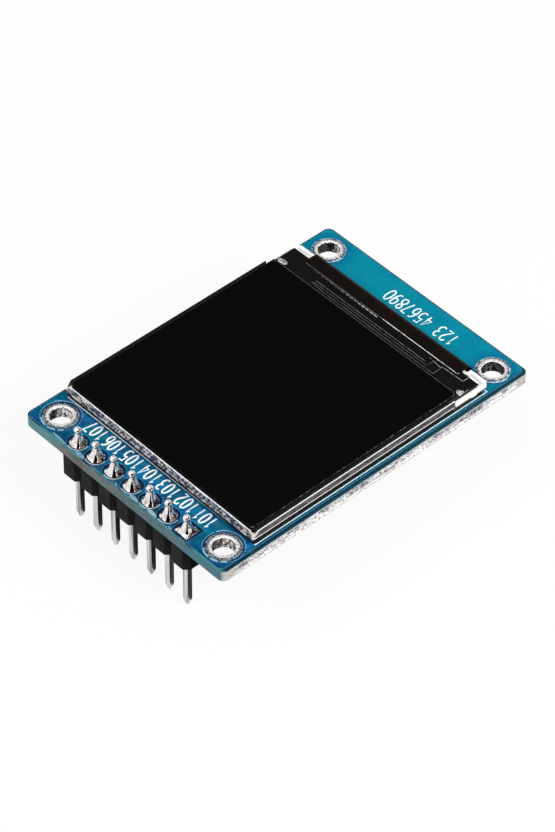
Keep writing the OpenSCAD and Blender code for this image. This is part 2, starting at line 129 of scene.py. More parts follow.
class Tree:
    """A node tree that is put together a node at a time."""

    def __init__(self, tree: bpy.types.NodeTree) -> None:
        """Empties the tree.

        Args:
            tree: Node tree of a material or of the world.
        """
        self.tree = tree
        self.tree.nodes.clear()

    def node(self, kind: str, inputs: Inputs | None = None, **settings: object) -> bpy.types.Node:
        """Adds a node.

        Args:
            kind: Type of the node.
            inputs: A number, a colour or another node's output for each input that is set.
            settings: Properties of the node.

        Returns:
            The new node.
        """
        node = self.tree.nodes.new(f"ShaderNode{kind}")
        for key, value in settings.items():
            setattr(node, key, value)
        for key, value in (inputs or {}).items():
            self.feed(node.inputs[key], value)
        return node

    def feed(self, target: Socket, value: object) -> None:
        """Sets or links an input.

        Args:
            target: The input.
            value: A number or colour that it is set to, or an output that it is linked to.
        """
        if isinstance(value, Socket):
            self.tree.links.new(value, target)
        else:
            target.default_value = value

    def calc(self, how: str, *values: Value, clamp: bool = False) -> Socket:
        """Works out a number from one to three others.

        Args:
            how: Operation of the math node.
            values: Numbers or outputs.
            clamp: Whether to keep the result between 0 and 1.

        Returns:
            The result's socket.
        """
        return self.node("Math", dict(enumerate(values)), operation=how, use_clamp=clamp).outputs[0]

    def background_rays(self) -> Socket:
        """Tells which rays show the background: to the camera, in metal or through glass.

        Returns:
            1 for those rays and 0 for the others.
        """
        path = self.node("LightPath")
        total = path.outputs["Is Camera Ray"]
        for name in ("Is Glossy Ray", "Is Transmission Ray"):
            total = self.calc("ADD", total, path.outputs[name], clamp=True)
        return total


class Recipe(Tree):
    """One material's node tree, with its shader and the place in millimetres."""

    def __init__(self, name: str) -> None:
        """Starts a material with a bare shader.

        Args:
            name: Name of the material.
        """
        self.material = bpy.data.materials.new(name)
        self.material.use_nodes = True
        super().__init__(self.material.node_tree)
        self.shader = self.node("BsdfPrincipled")
        self.node("OutputMaterial", {"Surface": self.shader.outputs[0]})
        place = self.node("TexCoord").outputs["Object"]
        self.place = self.node("VectorMath", {0: place, "Scale": 1 / MM}, operation="SCALE").outputs[0]

    def coat(self, colour: Socket, rough: Value, shine: float | None = None,
             metal: Value | None = None) -> None:
        """Sets the shader's main inputs.

        Args:
            colour: Its base colour.
            rough: Its roughness.
            shine: Its specular level, where that isn't the usual one.
            metal: How metallic it is, where it is at all.
        """
        given = {"Base Color": colour, "Roughness": rough, "Specular IOR Level": shine, "Metallic": metal}
        for name, value in given.items():
            if value is not None:
                self.feed(self.shader.inputs[name], value)

    def times(self, first: Value, second: Value) -> Socket:
        """Multiplies two numbers."""
        return self.calc("MULTIPLY", first, second)

    def larger(self, first: Value, second: Value) -> Socket:
        """Gives the larger of two numbers."""
        return self.calc("MAXIMUM", first, second)

    def scaled(self, value: Value, factor: float, start: Value, clamp: bool = False) -> Socket:
        """Gives a number times a factor, added to a start."""
        return self.calc("MULTIPLY_ADD", value, factor, start, clamp=clamp)

    def unsigned(self, value: Value) -> Socket:
        """Gives a number without its sign."""
        return self.calc("ABSOLUTE", value)

    def noise(self, size: float, detail: float = 3, rough: float = 0.55, stretch: Place = EVEN) -> Socket:
        """Makes soft noise.

        Args:
            size: Size of its features in millimetres.
            detail: How many finer layers it has.
            rough: How strong the finer layers are.
            stretch: How many times longer the features are along X, Y and Z.

        Returns:
            The noise, about 0.5 in the middle.
        """
        inputs = {"Scale": 1 / size, "Detail": detail, "Roughness": rough, "Vector": self._stretched(stretch)}
        return self.node("TexNoise", inputs).outputs["Fac"]

    def cells(self, size: float, stretch: Place = EVEN) -> Socket:
        """Makes a field that is 0 at scattered points and grows away from them."""
        inputs = {"Scale": 1 / size, "Vector": self._stretched(stretch)}
        return self.node("TexVoronoi", inputs).outputs["Distance"]

    def bands(self, pitch: float, axis: str, warp: float = 0.0) -> Socket:
        """Makes even bands across one axis.

        Args:
            pitch: Distance from band to band in millimetres.
            axis: X, Y or Z.
            warp: How far the bands wander.

        Returns:
            A value from 0 to 1.
        """
        inputs = {"Scale": math.pi / (10 * pitch), "Distortion": warp, "Vector": self.place}
        return self.node("TexWave", inputs, bands_direction=axis).outputs["Fac"]

    def _stretched(self, stretch: Place) -> Socket:
        """Squeezes the place, so that what is drawn on it is stretched.

        Args:
            stretch: How many times longer the features are along X, Y and Z.

        Returns:
            The squeezed place.
        """
        if stretch == EVEN:
            return self.place
        return self.node("VectorMath", {0: self.place, 1: stretch}, operation="DIVIDE").outputs[0]

    def axis(self, which: int) -> Socket:
        """Gives one coordinate of the place in millimetres."""
        return self.node("SeparateXYZ", {0: self.place}).outputs[which]

    def distance(self, spot: Point) -> Socket:
        """Gives the distance, seen from above, to the nearest of a place and its mirror images."""
        across, along = (self.calc("SUBTRACT", self.unsigned(self.axis(k)), spot[k]) for k in (ACROSS, ALONG))
        return self.calc("SQRT", self.calc("MULTIPLY_ADD", across, across, self.times(along, along)))

    def facing(self, which: int) -> Socket:
        """Gives one part of the surface's own direction."""
        normal = self.node("NewGeometry").outputs["Normal"]
        return self.node("SeparateXYZ", {0: normal}).outputs[which]

    def ramp(self, value: Value, low: float, high: float, start: float = 0.0, end: float = 1.0) -> Socket:
        """Maps a range onto another, without going past its ends.

        Args:
            value: What is mapped.
            low: Value that becomes start.
            high: Value that becomes end.
            start: First end of the result.
            end: Second end of the result.

        Returns:
            The mapped value.
        """
        return self.node("MapRange", dict(enumerate((value, low, high, start, end)))).outputs[0]

    def blend(self, share: Value, first: Colour, second: Colour) -> Socket:
        """Mixes two colours.

        Args:
            share: How much of the second, from 0 to 1.
            first: Tone or colour output.
            second: Tone or colour output.

        Returns:
            The mixed colour.
        """
        inputs = {0: share}
        for index, value in ((6, first), (7, second)):
            inputs[index] = linear(value) if isinstance(value, tuple) else value
        return self.node("Mix", inputs, data_type="RGBA").outputs[2]

    def bump(self, height: Socket, depth: float, strength: float = 1.0) -> None:
        """Adds fine relief to the shader's normal.

        Args:
            height: Relief from 0 to 1.
            depth: Height of a full step in millimetres.
            strength: Share of it that shows.
        """
        node = self.node("Bump", {"Strength": strength, "Distance": depth * MM, "Height": height})
        normal = self.shader.inputs["Normal"]
        if normal.is_linked:
            self.feed(node.inputs["Normal"], normal.links[0].from_socket)
        self.feed(normal, node.outputs[0])


@dataclass(frozen=True)
class Finish(ABC):
    """What a piece is made of and how its surface was left."""

    @property
    @abstractmethod
    def slot(self) -> Slot:
        """Slot of the record that the finish belongs to."""

    @abstractmethod
    def mix(self, r: Recipe) -> None:
        """Fills the recipe.

        Args:
            r: Recipe of the new material.
        """

    def material(self) -> bpy.types.Material:
        """Makes the finish's material, or gives the one made before.

        Returns:
            The material.
        """
        if self not in _made:
            recipe = Recipe(type(self).__name__)
            self.mix(recipe)
            _made[self] = recipe.material
        return _made[self]


_made: dict[Finish, bpy.types.Material] = {}


@dataclass(frozen=True)
class SharedFinish(Finish):
    """Finish that several slots share, so each use names its own."""

    used_for: Slot

    @property
    def slot(self) -> Slot:
        """Slot of the record that the finish belongs to."""
        return self.used_for


@dataclass(frozen=True)
class SolderMask(Finish):
    """Glossy solder mask on copper or on bare fibre, thinner and paler at an edge of the copper.

    With sides, the faces that don't face up or down are cut glass fibre. With a
    hole, the mask gets painted shade round the far holes, at the front edge and
    along the edge at +X.
    """

    deep: Tone = (4, 100, 154)
    pool: Tone = (2, 104, 124)
    clear: Tone = (0, 130, 152)
    edge: Tone = (112, 176, 222)
    sides: bool = False
    hole: Point | None = None
    slot = Slot.BOARD

    def mix(self, r: Recipe) -> None:
        """Fills the recipe.

        Args:
            r: Recipe of the new material.
        """
        near = r.blend(r.ramp(r.noise(2.0, 3), 0.42, 0.60), self.deep, self.pool)
        # Painted reflection: towards the far end (+Y) the mask turns, with some random drift, to the paler
        # clear tone.
        drift = r.ramp(r.noise(5, 4), 0.3, 0.7, -1, 1)
        drift = r.scaled(drift, 0.2, r.ramp(r.axis(ALONG), -13, 13), clamp=True)
        colour = r.blend(drift, near, self.clear)
        weave = r.times(r.bands(0.5, "X", 1.2), r.bands(0.5, "Y", 1.2))
        colour = r.blend(r.times(weave, 0.10), colour, (0, 60, 96))
        if self.hole:
            colour = self._painted_shade(r, colour)
        top = r.unsigned(r.facing(UP))
        if self.sides:
            # Painted highlight: a light teal band, broken by noise, along the front edge.
            thin = r.times(r.ramp(r.axis(ALONG), -19.1, -19.45), r.ramp(r.noise(2.4, 2), 0.36, 0.52))
            colour = r.blend(r.times(thin, 0.7), colour, (66, 146, 140))
            colour = r.blend(r.ramp(top, 0.55, 0.45), colour, self._fibre(r))
        else:
            # Paler sloped faces at the copper's edge: partly thinner mask, partly a painted highlight.
            colour = r.blend(r.ramp(top, 0.985, 0.90), colour, self.edge)
        r.coat(colour, r.ramp(r.noise(0.6, 4), 0.35, 0.7, 0.16, 0.34), 0.3)
        r.bump(r.noise(0.9, 3), 0.012)
        r.bump(weave, 0.003)

    def _painted_shade(self, r: Recipe, colour: Socket) -> Socket:
        """Paints shade on the mask: round the far holes, along the front edge where the pins and the tray
        cast shadow, and along the edge at +X beside the tray.

        Args:
            r: Recipe of the mask.
            colour: The even mask's colour.

        Returns:
            The shaded colour.
        """
        # Painted shade: darker patches at the far end and a dark halo round the far holes.
        far = r.ramp(r.axis(ALONG), 8, 14)
        colour = r.blend(r.times(far, r.ramp(r.noise(3.4, 3), 0.46, 0.62, 0.0, 0.30)), colour, (0, 104, 140))
        away = r.scaled(r.noise(1.2, 3), 1.0, r.distance(self.hole))
        colour = r.blend(r.times(far, r.ramp(away, 3.4, 2.2, 0.0, 0.65)), colour, (0, 86, 132))
        # Painted shadow of the pins and the tray along the front edge.
        front = r.scaled(r.noise(0.9, 3), 2.6, r.axis(ALONG))
        colour = r.blend(r.ramp(front, -16.0, -18.0, 0.0, 0.7), colour, (6, 54, 86))
        front_shade = r.ramp(r.noise(1.1, 3, 0.6), 0.46, 0.60, 0.0, 0.55)
        colour = r.blend(r.times(r.ramp(r.axis(ALONG), -13, -15), front_shade), colour, (6, 46, 84))
        # Painted shade along the edge at +X, beside the tray.
        return r.blend(r.ramp(r.axis(ACROSS), 13.20, 13.32, 0.0, 0.7), colour, (6, 66, 84))

    def _fibre(self, r: Recipe) -> Socket:
        """Mixes the colour of the cut sides: pale torn fibre at the long sides, smoother ends.

        Args:
            r: Recipe of the mask.

        Returns:
            The sides' colour.
        """
        threads = r.noise(0.10, 5, 0.7, (1, 1, 0.5))
        torn = r.blend(r.ramp(threads, 0.40, 0.60), (96, 92, 88), (222, 221, 216))
        streaks = r.noise(0.13, 5, 0.7, (7, 1, 1))
        cut = r.blend(r.ramp(streaks, 0.42, 0.58), (18, 24, 26), (72, 76, 78))
        cut = r.blend(r.times(r.bands(0.17, "Z", 3.0), 0.35), cut, (44, 78, 82))
        cut = r.blend(r.ramp(r.noise(0.30, 3, 0.6, (6, 1, 1)), 0.44, 0.58, 0.0, 0.40), cut, (146, 130, 132))
        cut = r.blend(r.ramp(r.noise(1.9, 2, 0.5), 0.52, 0.62, 0.0, 0.4), cut, (50, 124, 112))
        corner = r.calc("ADD", r.unsigned(r.axis(ACROSS)), r.times(streaks, 2.0))
        cut = r.blend(r.ramp(corner, 9.2, 11.2, 0.0, 0.66), cut, (36, 136, 142))
        cut = r.blend(r.ramp(r.axis(ACROSS), -5, 12, 0.0, 0.82), cut, (10, 92, 112))
        return r.blend(r.ramp(r.unsigned(r.facing(ACROSS)), 0.35, 0.75), cut, torn)


BOARD_MASK = SolderMask((5, 45, 66), (8, 58, 74), (18, 62, 74), sides=True)
# Pale tones of the painted highlights along the front edge.
SLIVER_GLINT_MASK = SolderMask((108, 148, 162), (142, 172, 176), (128, 162, 170), (160, 190, 200))
# Pale tones of the painted highlights on the copper's edge round the holes.
RIDGE_HIGHLIGHT_MASK = SolderMask((40, 120, 176), (132, 188, 230), (110, 176, 216), (120, 184, 228))
PALE_HIGHLIGHT_MASK = SolderMask((150, 200, 220), (176, 214, 226), (150, 200, 220), (170, 214, 230))
# Dark bare board round holes and lands, deepened with painted shade.
GAP_SHADE_MASK = SolderMask((6, 34, 72), (6, 34, 66), (4, 60, 86), (4, 40, 80))
POUR_MASK = SolderMask(hole=HOLE)
# Pale tone of the painted highlight on the rim round each land.
RIM_HIGHLIGHT_MASK = SolderMask((150, 168, 188), (196, 204, 214), (160, 180, 196), (206, 214, 224))


@dataclass(frozen=True)
class TornFibre(Finish):
    """Broken glass fibre and resin along a snapped side of the board, bluish at its top and white at its
    foot, a painted highlight where the light blows it out.
    """

    slot = Slot.BOARD

    def mix(self, r: Recipe) -> None:
        """Fills the recipe.

        Args:
            r: Recipe of the new material.
        """
        threads = r.noise(0.20, 6, 0.72, (1, 1.9, 0.6))
        drift = r.ramp(r.noise(1.4, 3, 0.6, (1, 2, 1)), 0.35, 0.65, -0.10, 0.08)
        dark = r.blend(r.ramp(r.noise(0.5, 3), 0.42, 0.58), (104, 78, 86), (64, 74, 88))
        colour = r.blend(r.ramp(r.calc("ADD", threads, drift), 0.43, 0.55), dark, (240, 238, 240))
        colour = r.blend(r.ramp(r.cells(0.42, (1, 1.8, 0.8)), 0.06, 0.30), (66, 54, 60), colour)
        # Painted highlight: the foot of the side turns white, with a torn upper border.
        low = r.ramp(r.calc("ADD", r.axis(UP), r.times(threads, 0.7)), 0.95, 0.45)
        colour = r.blend(low, colour, (252, 252, 252))
        high = r.times(r.ramp(r.axis(UP), 0.86, 1.14), r.ramp(r.noise(0.3, 3), 0.36, 0.56, 0.35, 0.85))
        r.coat(r.blend(high, colour, (118, 158, 178)), 0.75, 0.3)
        r.bump(threads, 0.05)


@dataclass(frozen=True)
class BareMargin(Finish):
    """The bare ring between a land and the mask, seen through flux and thin mask."""

    dark: Tone = (16, 36, 54)
    pale: Tone = (122, 142, 150)
    slot = Slot.BOARD

    def mix(self, r: Recipe) -> None:
        """Fills the recipe.

        Args:
            r: Recipe of the new material.
        """
        r.coat(r.blend(r.ramp(r.noise(0.22, 4), 0.42, 0.54), self.dark, self.pale), 0.35, 0.3)
        r.bump(r.noise(0.2, 3), 0.01)


@dataclass(frozen=True)
class Ink(Finish):
    """White legend ink, slightly rough and thin in places."""

    slot = Slot.BOARD

    def mix(self, r: Recipe) -> None:
        """Fills the recipe.

        Args:
            r: Recipe of the new material.
        """
        r.coat(r.blend(r.ramp(r.noise(0.25, 4), 0.28, 0.5), (196, 226, 236), (240, 246, 246)), 0.55, 0.3)
        r.bump(r.noise(0.12, 3), 0.004)


@dataclass(frozen=True)
class MoltenTin(SharedFinish):
    """Tin, solder or silver paste that set with a bright, uneven skin."""

    used_for: Slot = Slot.TIN
    tone: Tone = (214, 212, 210)
    dull: float = 0.20
    ripple: float = 0.02

    def mix(self, r: Recipe) -> None:
        """Fills the recipe.

        Args:
            r: Recipe of the new material.
        """
        colour = r.blend(r.ramp(r.noise(0.22, 5, 0.6), 0.32, 0.62), dimmed(self.tone, 0.80), self.tone)
        r.coat(colour, r.ramp(r.noise(0.35, 4), 0.3, 0.7, self.dull * 0.5, self.dull * 1.7), metal=1.0)
        r.bump(r.noise(0.30, 4, 0.6), self.ripple)


@dataclass(frozen=True)
class GlintMark(Finish):
    """Thin edge, glue line or row of bumps on the dark ledge, whose pale tone is mostly a painted highlight
    of the light it catches.
    """

    tone: Tone
    slot = Slot.SILVER

    def mix(self, r: Recipe) -> None:
        """Fills the recipe.

        Args:
            r: Recipe of the new material.
        """
        r.coat(r.blend(r.ramp(r.noise(0.5, 4, 0.65), 0.38, 0.52), dimmed(self.tone, 0.55), self.tone), 0.5)
        r.bump(r.noise(0.1, 2), 0.002)


# Tones of the painted highlights on the ledge's lines.
GREY_GLINT = GlintMark((108, 108, 110))
PALE_GLINT = GlintMark((176, 176, 178))
WHITE_GLINT = GlintMark((238, 238, 238))


@dataclass(frozen=True)
class LevelledTin(Finish):
    """Tin blown level round a hole: frosted, dirty at its rim, streaked and stained in the bore."""

    hole: Point
    slot = Slot.TIN

    def mix(self, r: Recipe) -> None:
        """Fills the recipe.

        Args:
            r: Recipe of the new material.
        """
        top = r.ramp(r.unsigned(r.facing(UP)), 0.25, 0.55)
        frost = r.blend(r.ramp(r.noise(0.16, 4, 0.65), 0.36, 0.50), (120, 114, 114), (248, 246, 246))
        streaks = r.noise(0.26, 4, 0.6, (1, 1, 2.2))
        bore = r.blend(r.ramp(streaks, 0.42, 0.56), (52, 44, 46), (226, 222, 220))
        away = r.scaled(r.noise(0.30, 3), 0.34, r.distance(self.hole))
        dirt = r.blend(r.ramp(r.noise(0.15, 3, 0.6), 0.47, 0.53), (34, 40, 46), (142, 154, 160))
        frost = r.blend(r.ramp(away, 1.56, 1.64), frost, dirt)
        r.coat(r.blend(top, bore, frost), r.scaled(top, 0.30, 0.22), metal=r.scaled(top, -0.25, 0.95))
        r.bump(r.noise(0.20, 5, 0.65), 0.04)


@dataclass(frozen=True)
class FluxedSolder(Finish):
    """Bright solder with a little amber flux left on the +X side of its foot."""

    slot = Slot.SOLDER

    def mix(self, r: Recipe) -> None:
        """Fills the recipe.

        Args:
            r: Recipe of the new material.
        """
        lean = r.scaled(r.facing(ACROSS), 0.10, r.noise(0.55, 3))
        flux = r.times(r.ramp(r.axis(UP), 1.9, 1.35), r.ramp(lean, 0.52, 0.64))
        bright = r.blend(r.ramp(r.noise(0.25, 4), 0.3, 0.6), (206, 202, 200), (244, 242, 240))
        colour = r.blend(r.times(flux, 0.8), bright, (150, 104, 70))
        r.coat(colour, r.ramp(r.noise(0.35, 4), 0.3, 0.7, 0.05, 0.14), metal=1.0)
        r.bump(r.noise(0.7, 2, 0.5), 0.006)


@dataclass(frozen=True)
class DrawnMetal(SharedFinish):
    """Plated wire or sheet with fine marks along the way it was drawn or rolled."""

    used_for: Slot = Slot.PIN
    tone: Tone = (214, 214, 214)
    rough: float = 0.24
    marks: Place = (0.34, 0.34, 9.0)

    def mix(self, r: Recipe) -> None:
        """Fills the recipe.

        Args:
            r: Recipe of the new material.
        """
        lines = r.noise(1.0, 4, 0.6, self.marks)
        colour = r.blend(r.ramp(lines, 0.44, 0.54), dimmed(self.tone, 0.68), self.tone)
        r.coat(colour, r.ramp(lines, 0.3, 0.7, self.rough * 0.75, self.rough * 1.4), metal=1.0)
        r.bump(lines, 0.004)
        r.bump(r.noise(1.6, 2), 0.02)


@dataclass(frozen=True)
class RolledSteel(Finish):
    """Thin rolled sheet of the tray: a half mirror whose bright blots are partly blotching of the sheet and
    partly painted reflections, with a painted highlight on every face that looks up.

    Its side walls are duller and painted darker, a painted shade for the dark
    they reflect. As far as fold_end they carry a pale line, a painted highlight of
    the fold, above a dark foot, a painted shadow under the tray. Black tape covers
    the top and the inside of the wall at -X. Half is half the tray's width, front
    its front edge and foot the height of its base.
    """

    half: float
    front: float
    foot: float
    fold_end: float = 10.3
    slot = Slot.STEEL

    def mix(self, r: Recipe) -> None:
        """Fills the recipe.

        Args:
            r: Recipe of the new material.
        """
        lines = r.noise(0.34, 4, 0.62, (2.2, 2.2, 1))
        # Bright blots: partly blotched sheet, partly painted reflections of the white print.
        blots_and_reflections = r.ramp(r.noise(0.42, 3, 0.6, (1.5, 1.5, 1)), 0.50, 0.56)
        # Painted shade: the side walls take the darker dull tone.
        side = r.ramp(r.unsigned(r.facing(ACROSS)), 0.35, 0.7)
        # Painted highlight on the faces that look up, such as the top edges of the walls.
        up_highlight = r.ramp(r.facing(UP), 0.25, 0.6)
        skin = r.unsigned(r.axis(ACROSS))
        wall = r.times(r.ramp(skin, self.half - 0.16, self.half - 0.10),
                       r.ramp(r.axis(ALONG), self.fold_end, self.fold_end - 0.1))
        # Painted highlight of the fold as a pale line on the side walls, with a painted shadow at their foot
        # below it.
        fold = r.times(wall, r.ramp(r.axis(UP), self.foot + 0.52, self.foot + 0.49))
        below = r.times(wall, r.ramp(r.axis(UP), self.foot + 0.41, self.foot + 0.39))
        inside = r.times(side, r.ramp(skin, self.half - 0.07, self.half - 0.10))
        colour = r.blend(r.ramp(lines, 0.42, 0.56), (70, 64, 66), (150, 142, 142))
        colour = r.blend(blots_and_reflections, colour, (242, 228, 232))
        # Darker tone of the side walls, a painted shade.
        dull = r.blend(r.ramp(lines, 0.40, 0.58), (70, 69, 70), (116, 113, 114))
        for share, tone in ((side, dull), (fold, (252, 238, 240)), (below, (12, 12, 13)),
                            (inside, (252, 252, 252)), (up_highlight, (250, 250, 250))):
            colour = r.blend(share, colour, tone)
        tape = self._tape(r)
        metal = r.scaled(r.larger(side, r.larger(fold, blots_and_reflections)), -0.42, 0.72)
        metal = r.scaled(tape, -1.0, r.scaled(up_highlight, 0.28, metal, clamp=True), clamp=True)
        rough = r.larger(r.ramp(lines, 0.3, 0.7, 0.14, 0.06), r.times(r.larger(up_highlight, fold), 0.7))
        r.coat(r.blend(tape, colour, (14, 14, 15)), rough, metal=metal)
        r.bump(r.noise(1.2, 2), 0.012)

    def _tape(self, r: Recipe) -> Socket:
        """Finds where the black tape lies.

        Args:
            r: Recipe of the steel.

        Returns:
            1 on the tape and 0 elsewhere.
        """
        left = r.ramp(r.axis(ACROSS), 0.28 - self.half, 0.18 - self.half)
        past_front = r.ramp(r.axis(ALONG), self.front + 0.13, self.front + 0.28)
        return r.times(r.times(left, past_front), r.ramp(r.facing(ACROSS), -0.9, -0.7))


@dataclass(frozen=True)
class Moulding(SharedFinish):
    """Moulded plastic, epoxy, foam or film with a fine grain."""

    tone: Tone
    fleck: Tone
    rough: float = 0.45
    grain: float = 0.12
    depth: float = 0.006
    shine: float = 0.4

    def mix(self, r: Recipe) -> None:
        """Fills the recipe.

        Args:
            r: Recipe of the new material.
        """
        grain = r.noise(self.grain, 4, 0.6)
        rough = r.ramp(r.noise(self.grain * 8, 3), 0.3, 0.7, self.rough * 0.8, self.rough * 1.2)
        r.coat(r.blend(r.ramp(grain, 0.35, 0.68), self.tone, self.fleck), rough, self.shine)
        r.bump(grain, self.depth)


@dataclass(frozen=True)
class GlossyFilm(SharedFinish):
    """Polished film, glass or wafer whose cut edge shows paler than its face, partly the cut's own tone and
    partly a painted highlight, strongest on the edges that face X.
    """

    tone: Tone
    edge: Tone
    shine: float = 0.12
    rough: float = 0.05

    def mix(self, r: Recipe) -> None:
        """Fills the recipe.

        Args:
            r: Recipe of the new material.
        """
        # Paler cut edges: partly their own tone, partly a painted highlight, strongest where they face X.
        side = r.ramp(r.unsigned(r.facing(UP)), 0.90, 0.65)
        across = r.ramp(r.unsigned(r.facing(ACROSS)), 0.15, 0.35, 0.12, 1.0)
        broken = r.ramp(r.noise(0.5, 4, 0.7), 0.50, 0.62, 0.10, 1.0)
        colour = r.blend(r.times(side, r.times(across, broken)), self.tone, self.edge)
        rough = r.ramp(r.noise(3.0, 4), 0.3, 0.7, self.rough, self.rough * 1.8)
        r.coat(colour, r.calc("ADD", rough, r.times(side, 0.3)), self.shine)
        r.bump(r.noise(4.0, 2), 0.004, 0.6)


@dataclass(frozen=True)
class FlexFilm(Finish):
    """Very dark cover film over fine copper lines that run towards the fold."""

    tone: Tone = (9, 8, 8)
    slot = Slot.FLEX

    def mix(self, r: Recipe) -> None:
        """Fills the recipe.

        Args:
            r: Recipe of the new material.
        """
        lines = r.bands(0.16, "X", 0.4)
        patches = r.noise(1.6, 3, 0.6, (1, 0.5, 1))
        tint = r.blend(r.ramp(patches, 0.42, 0.60), (26, 8, 9), (8, 17, 12))
        colour = r.blend(0.5, self.tone, tint)
        colour = r.blend(r.times(lines, 0.05), colour, (70, 50, 42))
        r.coat(colour, r.ramp(r.noise(0.8, 3), 0.3, 0.7, 0.28, 0.46), 0.05)
        r.bump(lines, 0.004)


# ---------------------------------------------------------------- meshes


class Extent(NamedTuple):
    """Lowest and highest X, Y and Z of a node in millimetres."""

    left: float
    right: float
    near: float
    far: float
    under: float
    top: float


def edges(node: str) -> Extent:
    """Gives how far a node reaches."""
    low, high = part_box(node)
    return Extent(*(v / MM for v in (low.x, high.x, low.y, high.y, low.z, high.z)))


def middle(node: str) -> Point:
    """Gives the middle of a node in plan."""
    at = edges(node)
    return ((at.left + at.right) / 2, (at.near + at.far) / 2)


def placed(name: str, data: bpy.types.ID) -> bpy.types.Object:
    """Makes an object and puts it in the scene.

    Args:
        name: Name of the object.
        data: Its mesh, curve, lamp or camera.

    Returns:
        The new object.
    """
    thing = bpy.data.objects.new(name, data)
    bpy.context.scene.collection.objects.link(thing)
    return thing


def piece(name: str, mesh: bpy.types.Mesh, finish: Finish, smooth: bool = True) -> bpy.types.Object:
    """Makes an object of a mesh, rides it on the module and dresses it.

    Args:
        name: Name of the piece.
        mesh: Its mesh, in metres.
        finish: Its finish.
        smooth: Whether its faces are shaded smoothly.

    Returns:
        The new object.
    """
    thing = placed(name, mesh)
    mesh.materials.clear()
    mesh.materials.append(finish.material())
    for face in mesh.polygons:
        face.use_smooth = smooth
    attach(thing, "root")
    finish.slot.value
    log.info("piece %s: %d faces", name, len(mesh.polygons))
    return thing


def tidy(mesh: bpy.types.Mesh) -> None:
    """Welds a mesh's doubled corners and turns its faces outwards.

    Args:
        mesh: The mesh, in metres.
    """
    work = bmesh.new()
    work.from_mesh(mesh)
    bmesh.ops.remove_doubles(work, verts=work.verts, dist=1e-7)
    bmesh.ops.recalc_face_normals(work, faces=work.faces)
    work.to_mesh(mesh)
    work.free()
    mesh.update()


def solid_mesh(name: str, points: Iterable[Place], faces: Iterable[Face]) -> bpy.types.Mesh:
    """Makes a mesh from points in millimetres and turns its faces outwards.

    Args:
        name: Name of the mesh.
        points: Corner points.
        faces: Corner numbers of each face.

    Returns:
        The mesh in metres.
    """
    mesh = bpy.data.meshes.new(name)
    mesh.from_pydata([[c * MM for c in p] for p in points], [], [list(f) for f in faces])
    tidy(mesh)
    return mesh


def curve_mesh(name: str, lines: Sequence[Line], flat: bool, **settings: float) -> bpy.types.Mesh:
    """Makes a mesh of curves.

    Args:
        name: Name of the mesh.
        lines: Points in millimetres of each line, and whether it is closed.
        flat: Whether the closed lines are filled as plates, or each line is a bead.
        settings: Values of the curve, in millimetres where they are lengths.

    Returns:
        The mesh in metres, at height 0.
    """
    curve = bpy.data.curves.new(name, "CURVE")
    curve.dimensions = "2D" if flat else "3D"
    curve.fill_mode = "BOTH" if flat else "FULL"
    curve.use_fill_caps = not flat
    for key, value in settings.items():
        setattr(curve, key, value)
    for points, closed in lines:
        tapered = not (closed or flat)
        track = _eased(points, curve.bevel_depth) if tapered else points
        line = curve.splines.new("POLY")
        line.points.add(len(track) - 1)
        for point, (x, y) in zip(line.points, track):
            point.co = (x, y, 0, 1)
            point.radius = 1.0
        if tapered:
            line.points[0].radius = line.points[-1].radius = END_RADIUS
        line.use_cyclic_u = closed
    holder = placed(name, curve)
    mesh = bpy.data.meshes.new_from_object(holder.evaluated_get(bpy.context.evaluated_depsgraph_get()))
    bpy.data.objects.remove(holder)
    bpy.data.curves.remove(curve)
    mesh.transform(Matrix.Scale(MM, 4))
    tidy(mesh)
    return mesh


def _eased(points: Path, reach: float) -> Path:
    """Adds a point close to each end of a line, so that the bead's ends can round off.

    Args:
        points: Points of the line.
        reach: Half the bead's width.

    Returns:
        The points with the two new ones.
    """
    first, second, before, last = (Vector(p) for p in (points[0], points[1], points[-2], points[-1]))
    start = first + (second - first).normalized() * reach * 0.6
    end = last + (before - last).normalized() * reach * 0.6
    return [points[0], tuple(start), *points[1:-1], tuple(end), points[-1]]


def _stand(mesh: bpy.types.Mesh, depth: float, level: float, height: float) -> None:
    """Stands a flat mesh on a level and gives it its height.

    Args:
        mesh: A mesh that lies half above and half below height 0.
        depth: How high it is.
        level: Height of the surface.
        height: How high it becomes; negative hangs it below the level.
    """
    for vert in mesh.vertices:
        vert.co.z = (level + (vert.co.z / (depth * MM) + 0.5) * height) * MM
    tidy(mesh)


def bead(name: str, lines: Sequence[Line], width: float, height: float, level: float,
         finish: Finish) -> bpy.types.Object:
    """Lays low rounded beads along lines on a level surface.

    Args:
        name: Name of the piece.
        lines: Points of each line, and whether it is closed.
        width: Width of a bead.
        height: Height of a bead.
        level: Height of the surface.
        finish: Finish of the beads.

    Returns:
        The new object.
    """
    mesh = curve_mesh(name, lines, False, bevel_depth=width / 2, bevel_resolution=2)
    _stand(mesh, width, level, height)
    return piece(name, mesh, finish)


def plate(name: str, outline: Path, holes: Sequence[Path], level: float, thick: float, bevel: float,
          finish: Finish) -> bpy.types.Object:
    """Makes a thin plate with holes and eased edges.

    Args:
        name: Name of the piece.
        outline: Its outer edge.
        holes: Edges of its holes.
        level: Height of its lower face.
        thick: Its thickness.
        bevel: Width of the sloped edge.
        finish: Its finish.

    Returns:
        The new object.
    """
    lines = [(path, True) for path in (outline, *holes)]
    mesh = curve_mesh(name, lines, True, extrude=bevel / 2, bevel_depth=bevel, bevel_resolution=1,
                      offset=-bevel)
    _stand(mesh, 3 * bevel, level, thick)
    return piece(name, mesh, finish, smooth=False)


def angles(count: int) -> list[float]:
    """Gives evenly spaced angles of a full turn, in radians."""
    return [math.tau * k / count for k in range(count)]


